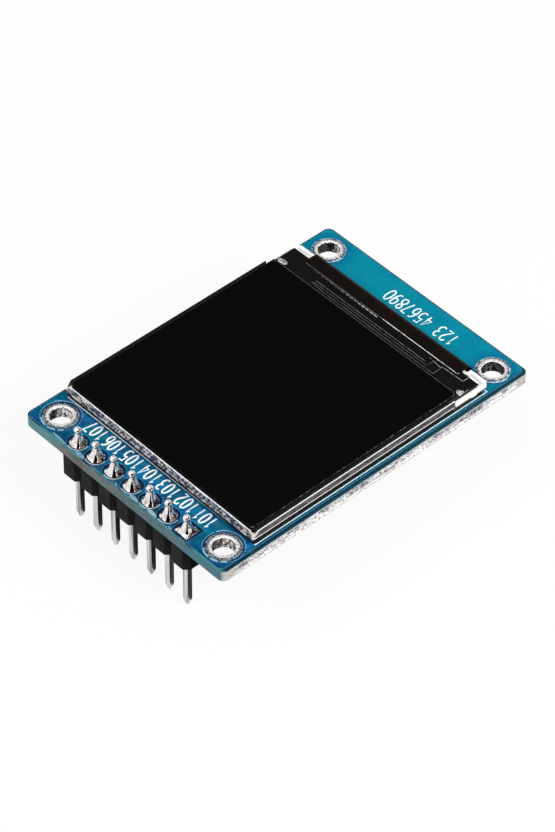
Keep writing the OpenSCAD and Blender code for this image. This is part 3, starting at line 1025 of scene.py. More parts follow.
def arc(centre: Point, radius: float, start: float = 0, end: float = 360, steps: int = 48) -> Path:
    """Gives points on an arc.

    Args:
        centre: Centre of the arc.
        radius: Its radius.
        start: First angle in degrees.
        end: Last angle in degrees.
        steps: How many parts a full circle has.

    Returns:
        The points; a full circle doesn't repeat its first.
    """
    whole = abs(end - start) >= 360
    count = max(2, round(abs(end - start) / 360 * steps))
    turns = [math.radians(start + (end - start) * k / count) for k in range(count if whole else count + 1)]
    return [(centre[0] + radius * math.cos(a), centre[1] + radius * math.sin(a)) for a in turns]


def block(x0: float, y0: float, x1: float, y1: float) -> Path:
    """Gives the four corners of a rectangle."""
    return [(x0, y0), (x1, y0), (x1, y1), (x0, y1)]


def square(centre: Point, half: float) -> Path:
    """Gives the four corners of a square."""
    return block(centre[0] - half, centre[1] - half, centre[0] + half, centre[1] + half)


def shifted(spot: Point, *steps: Point) -> Path:
    """Gives a path whose points are measured from a spot."""
    return [(spot[0] + x, spot[1] + y) for x, y in steps]


def turned(rows: Sequence[Sequence[Place]], closed: bool) -> tuple[list[Place], list[Face]]:
    """Joins rings of points into faces.

    Args:
        rows: Rings of points, one after the other along the profile.
        closed: Whether the last ring joins the first; otherwise both ends are capped.

    Returns:
        The points and the faces.
    """
    count = len(rows[0])
    points = [p for row in rows for p in row]
    faces: list[Face] = []
    for a in range(len(rows) if closed else len(rows) - 1):
        b = (a + 1) % len(rows)
        for k in range(count):
            n = (k + 1) % count
            faces.append((a * count + k, a * count + n, b * count + n, b * count + k))
    if not closed:
        faces.append(tuple(range(count)))
        faces.append(tuple((len(rows) - 1) * count + k for k in range(count)))
    return points, faces


def soften(node: str, width: float, segments: int = 2) -> None:
    """Breaks the sharp edges of a node with a small bevel.

    Args:
        node: Name of the node.
        width: Width of the bevel.
        segments: How many steps it has.
    """
    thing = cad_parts[node]
    thing.modifiers.new("join", "WELD").merge_threshold = 1e-6
    edge = thing.modifiers.new("edge", "BEVEL")
    edge.width = width * MM
    edge.segments = segments
    edge.limit_method = "ANGLE"
    edge.angle_limit = math.radians(40)
    edge.use_clamp_overlap = True
    thing.modifiers.new("shade", "WEIGHTED_NORMAL").weight = 80


def dress(finish: Finish, *nodes: str, edge: float | None = None) -> None:
    """Gives nodes of the frame their finish.

    Args:
        finish: The finish.
        nodes: Names of the nodes.
        edge: Width of the bevel on their sharp edges, if they have one.
    """
    for node in nodes:
        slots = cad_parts[node].data.materials
        slots.clear()
        slots.append(finish.material())
        if edge:
            soften(node, edge)


# ---------------------------------------------------------------- numerals

STROKES: dict[str, Line] = {
    "0": ([(0.5, 0.0), (0.82, 0.10), (0.98, 0.32), (0.98, 0.68), (0.82, 0.90), (0.5, 1.0),
           (0.18, 0.90), (0.02, 0.68), (0.02, 0.32), (0.18, 0.10)], True),
    "1": ([(0.22, 0.78), (0.55, 1.0), (0.55, 0.0)], False),
    "2": ([(0.04, 0.80), (0.20, 0.96), (0.5, 1.0), (0.82, 0.94), (0.95, 0.76), (0.88, 0.58),
           (0.45, 0.28), (0.02, 0.0), (0.98, 0.0)], False),
    "3": ([(0.06, 0.94), (0.42, 1.0), (0.80, 0.94), (0.92, 0.76), (0.78, 0.58), (0.40, 0.53),
           (0.80, 0.48), (0.96, 0.28), (0.82, 0.08), (0.45, 0.0), (0.04, 0.07)], False),
    "4": ([(0.74, 0.0), (0.74, 1.0), (0.02, 0.30), (1.0, 0.30)], False),
    "5": ([(0.90, 1.0), (0.14, 1.0), (0.08, 0.55), (0.45, 0.63), (0.82, 0.56), (0.97, 0.32),
           (0.82, 0.08), (0.45, 0.0), (0.04, 0.07)], False),
    "6": ([(0.86, 0.95), (0.5, 1.0), (0.18, 0.82), (0.04, 0.45), (0.14, 0.10), (0.5, 0.0),
           (0.86, 0.10), (0.97, 0.32), (0.84, 0.54), (0.5, 0.60), (0.14, 0.50), (0.05, 0.38)], False),
    "7": ([(0.02, 1.0), (0.98, 1.0), (0.38, 0.0)], False),
    "8": ([(0.5, 0.53), (0.16, 0.66), (0.10, 0.82), (0.24, 0.96), (0.5, 1.0), (0.76, 0.96), (0.90, 0.82),
           (0.84, 0.66), (0.5, 0.53), (0.12, 0.40), (0.02, 0.24), (0.16, 0.06), (0.5, 0.0),
           (0.84, 0.06), (0.98, 0.24), (0.88, 0.40)], True),
    "9": ([(0.14, 0.05), (0.5, 0.0), (0.82, 0.18), (0.96, 0.55), (0.86, 0.90), (0.5, 1.0),
           (0.14, 0.90), (0.03, 0.68), (0.16, 0.46), (0.5, 0.40), (0.86, 0.50), (0.95, 0.62)], False),
}


@dataclass(frozen=True)
class Numerals:
    """A row of plain numerals and spaces that reads towards -X, with its tops towards -Y."""

    text: str
    centre: Point
    height: float
    width: float
    line: float
    gap: float = 0.26

    def lines(self) -> list[Line]:
        """Gives the strokes of the row.

        Returns:
            The points of each numeral's line, and whether it is closed.
        """
        step = self.width + self.gap
        start = self.centre[0] + (len(self.text) * step - self.gap) / 2
        rows = []
        for number, sign in enumerate(self.text):
            if sign in STROKES:
                points, closed = STROKES[sign]
                corner = (start - number * step, self.centre[1] + 0.5 * self.height)
                steps = ((-x * self.width, -y * self.height) for x, y in points)
                rows.append((shifted(corner, *steps), closed))
        return rows


# ---------------------------------------------------------------- the board


@dataclass(frozen=True)
class Rim:
    """Arcs of mask laid round a hole or a land; spans are their first and last angles."""

    name: str
    radius: float
    spans: tuple[Point, ...]
    width: float
    height: float
    finish: SolderMask
    steps: int = 48

    def lay(self, number: int, centre: Point, level: float) -> None:
        """Lays the arcs.

        Args:
            number: Number of the hole or land.
            centre: Its centre.
            level: Height of the surface.
        """
        lines = [(arc(centre, self.radius, start, end, self.steps), False) for start, end in self.spans]
        bead(f"{self.name}_{number}", lines, self.width, self.height, level, self.finish)


@dataclass(frozen=True)
class Surround:
    """What shows between a mounting hole's land and the copper round it.

    Bare is the outer radius of the bare ring, lift the height of the rims'
    level over the board, and gap the outer and inner radius of a dark gap of bare
    board deepened with painted shade.
    """

    bare: float
    finish: BareMargin
    lift: float
    rims: tuple[Rim, ...]
    gap: Point | None = None


# The pale rims are painted highlights on the copper's edge; hole_shade is a painted shadow.
NEAR_HOLE = Surround(1.78, BareMargin(), 0.0, (
    Rim("hole_ridge", 2.01, ((42, 158),), 0.13, 0.05, RIDGE_HIGHLIGHT_MASK),
    Rim("hole_glint", 1.89, ((232, 268), (276, 302), (309, 328)), 0.10, 0.045, PALE_HIGHLIGHT_MASK, 12),
    Rim("hole_rise", 2.01, ((162, 398),), 0.10, 0.04, POUR_MASK)), (1.93, 1.77))
FAR_HOLE = Surround(1.70, BareMargin((8, 50, 80), (188, 206, 218)), 0.015, (
    Rim("hole_ridge", 1.80, ((-78, 6),), 0.10, 0.05, PALE_HIGHLIGHT_MASK, 16),
    Rim("hole_shade", 1.92, ((-84, 2),), 0.11, 0.03, GAP_SHADE_MASK, 16)))


@dataclass
class Board:
    """Circuit board with its copper relief, legend ink, torn sides and tinned holes."""

    slope: float = 0.07
    inset: float = 0.15
    inset_right: float = 0.45
    corner: float = 0.6
    hole_clear: float = 1.95
    far_clear: float = 1.74
    pin_clear: float = 1.14
    part_clear: Point = (0.45, 0.35)
    land_edge: float = 1.52
    ink_w: float = 0.19
    ink_h: float = 0.014
    lining_r: float = 1.105
    ring_steps: int = 112
    torn_steps: int = 640
    torn_layers: int = 11
    pins: int = 7

    def __post_init__(self) -> None:
        """Reads the board's size and the places of its holes from the frame."""
        self.x0, self.x1, self.y0, self.y1, self.under, self.top = edges("board")
        self.holes = [middle(f"hole_ring_{i}") for i in range(1, 5)]
        self.lands = [middle(f"pin_{i}") for i in range(1, self.pins + 1)]

    def build(self) -> None:
        """Builds everything that belongs to the board."""
        dress(BOARD_MASK, "board", edge=0.05)
        self.copper()
        self.slivers()
        self.hole_margins()
        self.land_margins()
        self.hole_tin()
        self.legend()
        self.torn_sides()

    def copper(self) -> None:
        """Lays the copper that the mask covers on both faces."""
        tray, body = edges("backlight_tray"), edges("header_body")
        hidden = block(tray.left + 0.5, tray.near + 0.5, tray.right - 0.5, tray.far + 0.35)
        rounds = [arc(h, self.hole_clear if h[1] < 0 else self.far_clear, steps=72) for h in self.holes]
        plate("copper_front", self._outline(), [hidden, *rounds], self.top, RELIEF, self.slope, POUR_MASK)
        keep = block(body.left - 0.25, self.y0 + self.inset + 0.3, body.right + 0.25, body.far + 0.25)
        holes = [keep, *rounds, *self._back_gaps()]
        level = self.under - RELIEF
        plate("copper_back", block(*self._inner_box()), holes, level, RELIEF, self.slope, POUR_MASK)

    def _inner_box(self) -> tuple[float, float, float, float]:
        """Gives the corners of the copper's outline."""
        return (self.x0 + self.inset, self.y0 + self.inset, self.x1 - self.inset_right, self.y1 - self.inset)

    def _outline(self) -> Path:
        """Gives the front copper's outline, with a bite round each pin.

        Returns:
            The outline's points, from the front corner at -X.
        """
        x0, y0, x1, y1 = self._inner_box()
        corner, clear = self.corner, self.pin_clear
        row = arc((x0 + corner, y0 + corner), corner, 180, 270)
        for x, y in sorted(self.lands):
            if (x, y) == self.lands[0]:
                row += [(x - clear, y0), (x - clear, y + clear), (x + clear, y + clear), (x + clear, y0)]
                continue
            dip = math.degrees(math.asin((y - y0) / clear))
            row += arc((x, y), clear, 180 + dip, -dip)
        row += arc((x1 - corner, y0 + corner), corner, 270, 360)
        row += arc((x1 - corner, y1 - corner), corner, 0, 90)
        row += arc((x0 + corner, y1 - corner), corner, 90, 180)
        return row

    def _back_gaps(self) -> list[Path]:
        """Gives the openings in the back copper round the parts soldered there.

        Returns:
            The corners of each opening.
        """
        across, along = self.part_clear
        parts = [edges(node) for node in ("regulator_leads", "transistor_leads")]
        return [block(p.left - across, p.near - along, p.right + across, p.far + along) for p in parts]

    def slivers(self) -> None:
        """Adds pale slivers along the front edge, painted highlights where the mask over the copper catches
        the light.
        """
        y, level = self.y0 + 0.28, self.top + RELIEF - 0.004
        gap = self.lands[0][0] - self.lands[1][0]
        spots = [(self.lands[k][0] - gap / 2, 0.66, 0.20) for k in (1, 2, 5)]
        spots += [(self.lands[6][0] - 1.66, 1.0, 0.13), (self.lands[3][0] - 1.15, 0.24, 0.06),
                  (self.lands[0][0] - 1.25, 0.28, 0.07)]
        for number, (x, half, deep) in enumerate(spots, 1):
            lens = []
            for a in angles(24):
                bulge = 1.3 if math.sin(a) > 0 else 0.6
                lens.append((x + half * math.cos(a), y + deep * math.sin(a) * bulge - 0.06 * math.cos(a)))
            plate(f"copper_sliver_glint_{number}", lens, [], level, 0.016, 0.03, SLIVER_GLINT_MASK)

    def hole_margins(self) -> None:
        """Adds the bare ring round each mounting hole's land and the rims of mask round that, whose pale arcs
        are painted highlights on the copper's edge and whose dark arcs are painted shade.
        """
        for number, hole in enumerate(self.holes, 1):
            around = NEAR_HOLE if hole[1] < 0 else FAR_HOLE
            plate(f"hole_margin_{number}", arc(hole, around.bare, steps=64), [arc(hole, self.land_edge)],
                  self.top, 0.012, 0.02, around.finish)
            if around.gap:
                outer, inner = (arc(hole, radius, steps=64) for radius in around.gap)
                plate(f"hole_gap_{number}", outer, [inner], self.top, 0.008, 0.01, GAP_SHADE_MASK)
            for rim in around.rims:
                rim.lay(number, hole, self.top + around.lift)

    def land_margins(self) -> None:
        """Adds the dark gap round each pin's land, bare board deepened with painted shade, and a pale rim, a
        painted highlight, where the gap is round.
        """
        for number, land in enumerate(self.lands, 1):
            outer, inner = square(land, 1.08), square(land, 0.78)
            if number > 1:
                outer, inner = arc(land, 1.06), arc(land, 0.78)
                span = (-118 + 4 * (number % 3), 14 + 6 * (number % 2))
                Rim("land_ridge", 1.03, (span,), 0.10, 0.045, RIM_HIGHLIGHT_MASK, 16).lay(number, land, self.top)
            plate(f"pin_gap_{number}", outer, [inner], self.top, 0.006, 0.01, GAP_SHADE_MASK)

    def hole_tin(self) -> None:
        """Builds the uneven tin on and in each mounting hole."""
        for number, hole in enumerate(self.holes, 1):
            node = f"hole_ring_{number}"
            mesh = solid_mesh(node, *turned(self._tin_rows(hole, number), True))
            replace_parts(piece(f"tinned_hole_{number}", mesh, LevelledTin(HOLE)), node)

    def _tin_rows(self, hole: Point, number: int) -> list[list[Place]]:
        """Gives the rings of points of one tinned hole.

        Args:
            hole: Centre of the hole.
            number: Number of the hole, which makes each different.

        Returns:
            Rings from the front land through the bore to the back land and round again.
        """
        land = [(1.57, 0.0), (1.595, 0.025), (1.56, 0.055), (1.50, 0.07), (1.44, 0.080), (1.38, 0.085),
                (1.32, 0.086), (1.26, 0.083), (1.20, 0.072), (1.15, 0.050), (1.115, 0.015)]
        skin = [(r, self.top + z) for r, z in land]
        skin += [(self.lining_r, self.top - 0.04 - 0.075 * k) for k in range(16)]
        skin += [(r, self.under - z) for r, z in reversed(land)]
        rows = [[self._tin_point(hole, number, r, z, a) for a in angles(self.ring_steps)] for r, z in skin]
        for z in (self.under, self.top):
            rows.append([(hole[0] + 1.16 * math.cos(a), hole[1] + 1.16 * math.sin(a), z)
                         for a in angles(self.ring_steps)])
        return rows

    def _tin_point(self, hole: Point, number: int, r: float, z: float, a: float) -> Place:
        """Gives one point of the tin's uneven skin.

        Args:
            hole: Centre of the hole.
            number: Number of the hole.
            r: Radius of the even skin.
            z: Height of the even skin.
            a: Angle in radians.

        Returns:
            The point, moved in or out where the skin is in the bore and up or down where it is on a land.
        """
        at = Vector((math.cos(a) * r, math.sin(a) * r, z + 7.3 * number))
        lump = noise.fractal(at / 0.42, 0.8, 2.1, 3)
        rise = 0.034 * lump + 0.020 * noise.noise(at / 0.17)
        flat = min(1.0, max(0.0, (r - 1.12) / 0.1))
        side = -1 if z < (self.top + self.under) / 2 else 1
        wide = r + (1 - flat) * min(rise * 1.4, 0.03) + (0.09 * lump * flat if r > 1.5 else 0)
        return (hole[0] + wide * math.cos(a), hole[1] + wide * math.sin(a), z + side * flat * rise)

    def legend(self) -> None:
        """Prints the outline of the display, the pin numbers and a plain number row."""
        level, tray = self.top + RELIEF, edges("backlight_tray")
        outline = block(tray.left + 0.36, tray.near + 0.05, tray.right - 0.03, tray.far + 0.30)
        outline[1] = (outline[1][0], tray.near + 0.24)
        bead("ink_outline", [(outline, True)], self.ink_w, self.ink_h, level, Ink())
        rows = {f"ink_pin_number_{n}": Numerals(str(100 + n), (x, y + 2.21), 1.55, 0.52, 0.21)
                for n, (x, y) in enumerate(self.lands, 1)}
        spot = (1.6, (tray.far + self.y1) / 2 + 0.2)
        rows["ink_number_row"] = Numerals("123 4567890", spot, 1.6, 0.60, 0.18)
        for name, row in rows.items():
            bead(name, row.lines(), row.line, self.ink_h, level, Ink())

    def torn_sides(self) -> None:
        """Covers the two long sides with a thin skin of torn fibre."""
        for name, x, way in (("torn_side_right", self.x1, 1), ("torn_side_left", self.x0, -1)):
            rows = [self._torn_row(x, way, k) for k in range(self.torn_steps + 1)]
            piece(name, solid_mesh(name, *turned(rows, False)), TornFibre())

    def _torn_row(self, x: float, way: int, k: int) -> list[Place]:
        """Gives one cross-section of the torn skin.

        Args:
            x: The side's place across the board.
            way: 1 if the skin faces +X and -1 if it faces -X.
            k: Number of the cross-section, from the front.

        Returns:
            Its points, from the back to the front and round inside the board.
        """
        y = self.y0 + 0.9 + (self.y1 - self.y0 - 1.8) * k / self.torn_steps
        fade = min(1.0, min(k, self.torn_steps - k) / 24)
        row = []
        for n in range(self.torn_layers):
            share = n / (self.torn_layers - 1)
            z = self.under + 0.03 + (self.top - self.under - 0.05) * share
            lump = noise.fractal(Vector((way * 3.1, y / 0.34, z / 0.16)), 0.7, 2.0, 4)
            arch = math.sqrt(max(0.0, 1 - (2 * share - 1) ** 6))
            row.append((x + way * (-0.03 + fade * arch * (0.045 + 0.075 * lump)), y, z))
        return row + [(x - way * 0.06, y, self.top - 0.03), (x - way * 0.06, y, self.under + 0.03)]


# ---------------------------------------------------------------- the header


@dataclass
class Header:
    """Straight pin header: black segments, square pins and their solder on the front."""

    pins: int = 7
    foot: float = 0.90
    neck: float = 0.31
    bead_r: float = 0.36
    steps: int = 44
    rows: int = 34

    def build(self) -> None:
        """Builds everything that belongs to the header."""
        plastic = Moulding(Slot.HEADER, (11, 11, 12), (21, 21, 21), 0.5, 0.10, 0.008, 0.06)
        dress(plastic, "header_body", edge=0.05)
        for number in range(1, self.pins + 1):
            dress(DrawnMetal(), f"pin_{number}")
            soften(f"pin_{number}", 0.07, 3)
            dress(MoltenTin(), f"pin_land_{number}", edge=0.015)
            self.joint(number)

    def joint(self, number: int) -> None:
        """Builds the solder of one pin, a hollow cone that ends in a bead.

        Args:
            number: Number of the pin; the first has a square foot.
        """
        node = f"solder_{number}"
        x, y = middle(f"pin_{number}")
        tip, start = edges(node).top, edges("board").top + RELIEF
        sway = [0.10 * noise.noise(Vector((number, *at))) for at in ((1.7, 0), (4.1, 3))]
        size = 1 + 0.10 * noise.noise(Vector((number * 2.3, 9.0, 1)))
        rows = []
        for k in range(self.rows + 1):
            t = k / self.rows
            radius = self._radius(t, tip - start, size)
            power = 8 if number == 1 and t < 0.08 else 2.6
            row = []
            for a in angles(self.steps):
                shape = (abs(math.cos(a)) ** power + abs(math.sin(a)) ** power) ** (-1 / power)
                at = Vector((math.cos(a), math.sin(a), 1.4 * t + 5 * number))
                r = radius * shape * (1 + 0.07 * noise.fractal(at * 1.1, 0.8, 2.0, 2))
                row.append((x + r * math.cos(a) + sway[0] * t * t, y + r * math.sin(a) + sway[1] * t * t,
                            start + (tip - start) * t))
            rows.append(row)
        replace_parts(piece(f"joint_{number}", solid_mesh(node, *turned(rows, False)), FluxedSolder()), node)

    def _radius(self, t: float, height: float, size: float) -> float:
        """Gives the solder's radius at a share of its height.

        Args:
            t: The share, from 0 at the board to 1 at the tip.
            height: Height of the solder.
            size: Size of the bead against the usual one.

        Returns:
            The radius.
        """
        bead_start = 1 - 1.70 * self.bead_r * size / height
        if t < bead_start:
            s = t / bead_start
            lip = 1.0 if s > 0.03 else 0.94 + 2 * s
            spread = 0.80 * (1 - s) ** 1.9 + 0.20 * math.exp(-s / 0.05)
            return lip * (self.neck + (self.foot - self.neck) * spread)
        s = (t - bead_start) / (1 - bead_start)
        ball = self.bead_r * size * math.sqrt(max(0.0, 1 - (1.75 * s - 0.75) ** 2))
        ease = min(1.0, s / 0.25)
        return max(0.004, self.neck * (1 - ease) + ball * ease)


# ---------------------------------------------------------------- the display


@dataclass
class Display:
    """Glass panel with its backlight, driver ledge and folded flexible circuit."""

    line_h: float = 0.008
    dab_rows: int = 10
    dab_steps: int = 32
    dab_high: float = 0.10

    def build(self) -> None:
        """Builds everything that belongs to the display."""
        self.tray()
        self.glass()
        self.dots()
        self.chip_marks()
        self.flex_marks()
        self.glass_marks()
        self.bump_row()
        self.inner_films()
        dress(FlexFilm(), "flex_circuit")
        dress(MoltenTin(Slot.SOLDER), "tail_solder")

    def tray(self) -> None:
        """Dresses the steel tray, its white frame with a band of painted shade on its far tabs, and the foam
        tape under it.
        """
        at = edges("backlight_tray")
        dress(RolledSteel(at.right, at.near, at.under), "backlight_tray", edge=0.03)
        white = Moulding(Slot.FRAME, (240, 239, 233), (248, 247, 243), 0.35, 0.4, 0.004)
        dress(white, "backlight_frame", edge=0.04)
        # Painted shade: a grey band laid along the middle of each far tab of the frame.
        shade = Moulding(Slot.FRAME, (198, 193, 202), (212, 208, 214), 0.4, 0.3, 0.003)
        at = edges("backlight_frame")
        steps = [([(s * (at.right - 2.0), at.far - 0.46), (s * (at.right - 0.42), at.far - 0.52)], False)
                 for s in (-1, 1)]
        bead("frame_painted_shade", steps, 0.26, 0.012, at.top, shade)
        dress(Moulding(Slot.FOAM, (9, 9, 9), (22, 22, 22), 0.8, 0.16, 0.03, 0.15),
              "tape_front", "tape_left", "tape_right")

    def glass(self) -> None:
        """Dresses the two glass plates, the polarizers and the driver chip."""
        polarizer = GlossyFilm(Slot.POLARIZER, (9, 9, 9), (112, 112, 114), 0.08, 0.04)
        dress(polarizer, "front_polarizer", edge=0.03)
        dress(polarizer, "rear_polarizer")
        glass = GlossyFilm(Slot.GLASS, (20, 20, 21), (32, 34, 35), 0.10, 0.05)
        dress(glass, "filter_glass", "tft_glass", edge=0.02)
        dress(GlossyFilm(Slot.SILICON, (16, 16, 18), (54, 54, 56), 0.2, 0.12), "driver_chip", edge=0.015)

    def dots(self) -> None:
        """Builds the two dabs of silver paste at the ends of the ledge, the one at -X smeared, and a painted
        highlight on the one at +X.
        """
        box, glass = edges("ground_dots"), edges("tft_glass")
        points, faces = [], []
        dabs = ((box.left + 0.46, 0.60, 0.30), (box.right - 0.30, 0.42, 0.42))
        for number, (x, long, wide) in enumerate(dabs):
            rows = []
            for k in range(self.dab_rows):
                t = k / (self.dab_rows - 1) * math.pi / 2
                row = []
                for a in angles(self.dab_steps):
                    c, s = math.cos(a), math.sin(a)
                    lump = 1 + 0.42 * noise.fractal(Vector((c, s, 3.0 * number + 0.6 * t)), 1, 2, 3)
                    reach = max(0.02, math.cos(t)) * lump
                    rise = self.dab_high * math.sin(t) * (1 + 0.25 * noise.noise(Vector((c * 2, s * 2, k))))
                    y = (box.near + box.far) / 2 + reach * wide * s
                    row.append((min(glass.right - 0.01, x + reach * long * c), min(box.far, max(box.near, y)),
                                glass.top - 0.01 + rise))
                rows.append(row)
            more, joins = turned(rows, False)
            faces += [tuple(c + len(points) for c in face) for face in joins]
            points += more
        paste = MoltenTin(Slot.SILVER, (208, 208, 210), 0.5, 0.05)
        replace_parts(piece("silver_dabs", solid_mesh("silver_dabs", points, faces), paste), "ground_dots")
        # Painted highlight: a small white disc on top of the dab at +X.
        glint = arc((box.right - 0.26, (box.near + box.far) / 2 + 0.02), 0.10, steps=16)
        plate("silver_glint", glint, [], glass.top + 0.088, 0.014, 0.03, GlintMark((250, 250, 250)))

    def chip_marks(self) -> None:
        """Draws the driver chip's edges and the film laid over it as grey and pale lines, painted highlights
        of those edges.
        """
        chip, level = edges("driver_chip"), edges("tft_glass").top
        cover = [(chip.left - 0.3, chip.near - 0.22), (chip.left + 1.4, chip.near - 0.40),
                 (chip.right + 1.12, chip.near - 0.42), (chip.right + 1.14, chip.far + 0.06)]
        self._line("chip_cover_edge", [cover], level, GREY_GLINT)
        film = shifted((chip.right, chip.far), (-0.62, 0.19), (1.06, -0.02), (1.12, 0.19), (3.68, 0.24),
                       (3.8, 0.31), (3.82, 0.94))
        self._line("film_outline", [film], level, PALE_GLINT)
        skirt = [(chip.left - 0.1, chip.near - 0.07), (chip.right - 0.02, chip.near - 0.07),
                 (chip.right + 0.02, chip.far + 0.02)]
        self._line("chip_skirt", [skirt], level, GREY_GLINT)
        top = [(chip.left + 0.1, chip.near + 0.04), (chip.right - 0.4, chip.near + 0.04)]
        self._line("chip_top_edge", [top], chip.top, GREY_GLINT)

    def flex_marks(self) -> None:
        """Draws the flexible circuit's edge on the glass as a grey line, with a white painted highlight past
        the middle.
        """
        flex, far = edges("flex_circuit"), edges("tft_glass").far
        turn = (0.4, far - 0.73)
        self._line("flex_edge_line", [[(flex.left + 0.2, far - 0.77), turn]], flex.top, GREY_GLINT)
        # Painted highlight on the flex's edge past the middle.
        bright = [turn, (flex.right, far - 0.72), (flex.right + 0.04, far - 0.50)]
        self._line("flex_edge_highlight", [bright], flex.top, WHITE_GLINT, 0.09)

    def glass_marks(self) -> None:
        """Draws painted highlights on the edges of the lower glass, at its corner and along the polarizer's
        far edge.
        """
        glass, screen, chip = edges("tft_glass"), edges("front_polarizer"), edges("driver_chip")
        # Each line below is a painted highlight of an edge that catches the light.
        start, far = edges("flex_circuit").right + 0.06, glass.far - 0.08
        ends = [(start, far), (screen.right + 0.19, far)]
        self._line("glass_far_edge_highlight", [ends], glass.top, WHITE_GLINT, 0.14)
        nook = shifted((glass.left + 0.12, screen.far + 0.10), (0.0, 0.0), (0.16, 0.08))
        self._line("glass_corner_glint", [nook], glass.top, WHITE_GLINT, 0.14)
        side = glass.right - 0.05
        ends = [(side, chip.near + 0.08), (side, chip.far - 0.10)]
        self._line("glass_side_edge_highlight", [ends], glass.top, PALE_GLINT)
        rim = shifted((screen.left, screen.far - 0.05), (0.06, -0.3), (0.3, 0.0))
        rim += shifted((screen.right, screen.far - 0.05), (-3.0, -0.03), (-1.9, -0.07), (-0.7, 0.0),
                       (-0.3, -0.05), (-0.06, -0.26))
        self._line("screen_far_edge_highlight", [rim], screen.top, GlintMark((62, 62, 64)), 0.08)

    def bump_row(self) -> None:
        """Draws the row of bumps behind the driver chip as white painted highlights, longer and further back
        at -X.
        """
        chip, slant = edges("driver_chip"), 0.010
        dashes, x = [], edges("flex_circuit").left + 0.1
        while x < chip.right - 0.7:
            long, rise = (0.45, 0.43) if x < -0.5 else (0.15, 0.20)
            y = chip.far + rise - slant * (x - chip.left)
            dashes.append([(x, y), (x + long, y - slant * long)])
            x += long + 0.10 + 0.10 * abs(noise.noise(Vector((x * 3.1, 0.4, 0))))
        self._line("bump_row", dashes, edges("tft_glass").top, WHITE_GLINT, 0.09)

    def _line(self, name: str, paths: Sequence[Path], level: float, finish: Finish,
              width: float = 0.06) -> None:
        """Draws fine raised lines on a level face.

        Args:
            name: Name of the piece.
            paths: Points of each line.
            level: Height of the face.
            finish: Finish of the lines.
            width: Their width.
        """
        bead(name, [(path, False) for path in paths], width, self.line_h, level, finish)

    def inner_films(self) -> None:
        """Dresses the light guide, its films and the lamps that feed it."""
        dress(Moulding(Slot.REFLECTOR, (236, 236, 236), (246, 246, 246), 0.3, 0.5, 0.002), "reflector")
        dress(Moulding(Slot.ACRYLIC, (222, 230, 234), (232, 240, 242), 0.1, 0.8, 0.002), "light_guide")
        dress(Moulding(Slot.FILM, (228, 228, 230), (238, 238, 240), 0.35, 0.3, 0.003),
              "diffuser", "prism_film_lower", "prism_film_upper")
        dress(Moulding(Slot.BLACK_TAPE, (10, 10, 10), (20, 20, 20), 0.5, 0.3, 0.003), "shading_tape")
        dress(Moulding(Slot.LED_FLEX, (176, 118, 40), (196, 140, 62), 0.35, 0.3, 0.003), "led_flex")
        dress(Moulding(Slot.LED, (232, 226, 190), (242, 238, 208), 0.35, 0.2, 0.003),
              "led_1", "led_2", "led_3")


# ---------------------------------------------------------------- the back


@dataclass
class BackParts:
    """Small parts on the board's back: regulator, transistor, capacitors and resistors."""

    body_edge: float = 0.04
    lead_edge: float = 0.02
    chip_edge: float = 0.03

    def build(self) -> None:
        """Dresses the parts."""
        epoxy = Moulding(Slot.EPOXY, (26, 26, 28), (42, 42, 44), 0.5, 0.08, 0.008)
        leads = DrawnMetal(Slot.PIN, (200, 200, 200), 0.3, (1.5, 0.05, 1.5))
        for part in ("regulator", "transistor"):
            dress(epoxy, f"{part}_body", edge=self.body_edge)
            dress(leads, f"{part}_leads", edge=self.lead_edge)
        tan = Moulding(Slot.CAPACITOR, (150, 118, 78), (176, 142, 98), 0.45, 0.15, 0.005)
        dark = Moulding(Slot.RESISTOR, (24, 24, 27), (38, 38, 42), 0.25, 0.2, 0.003)
        for finish, node in ((tan, "capacitors"), (dark, "resistors"), (MoltenTin(dull=0.35), "chip_caps")):
            dress(finish, node, edge=self.chip_edge)
        dress(MoltenTin(Slot.SOLDER, dull=0.15), "chip_solder")


# ---------------------------------------------------------------- the studio


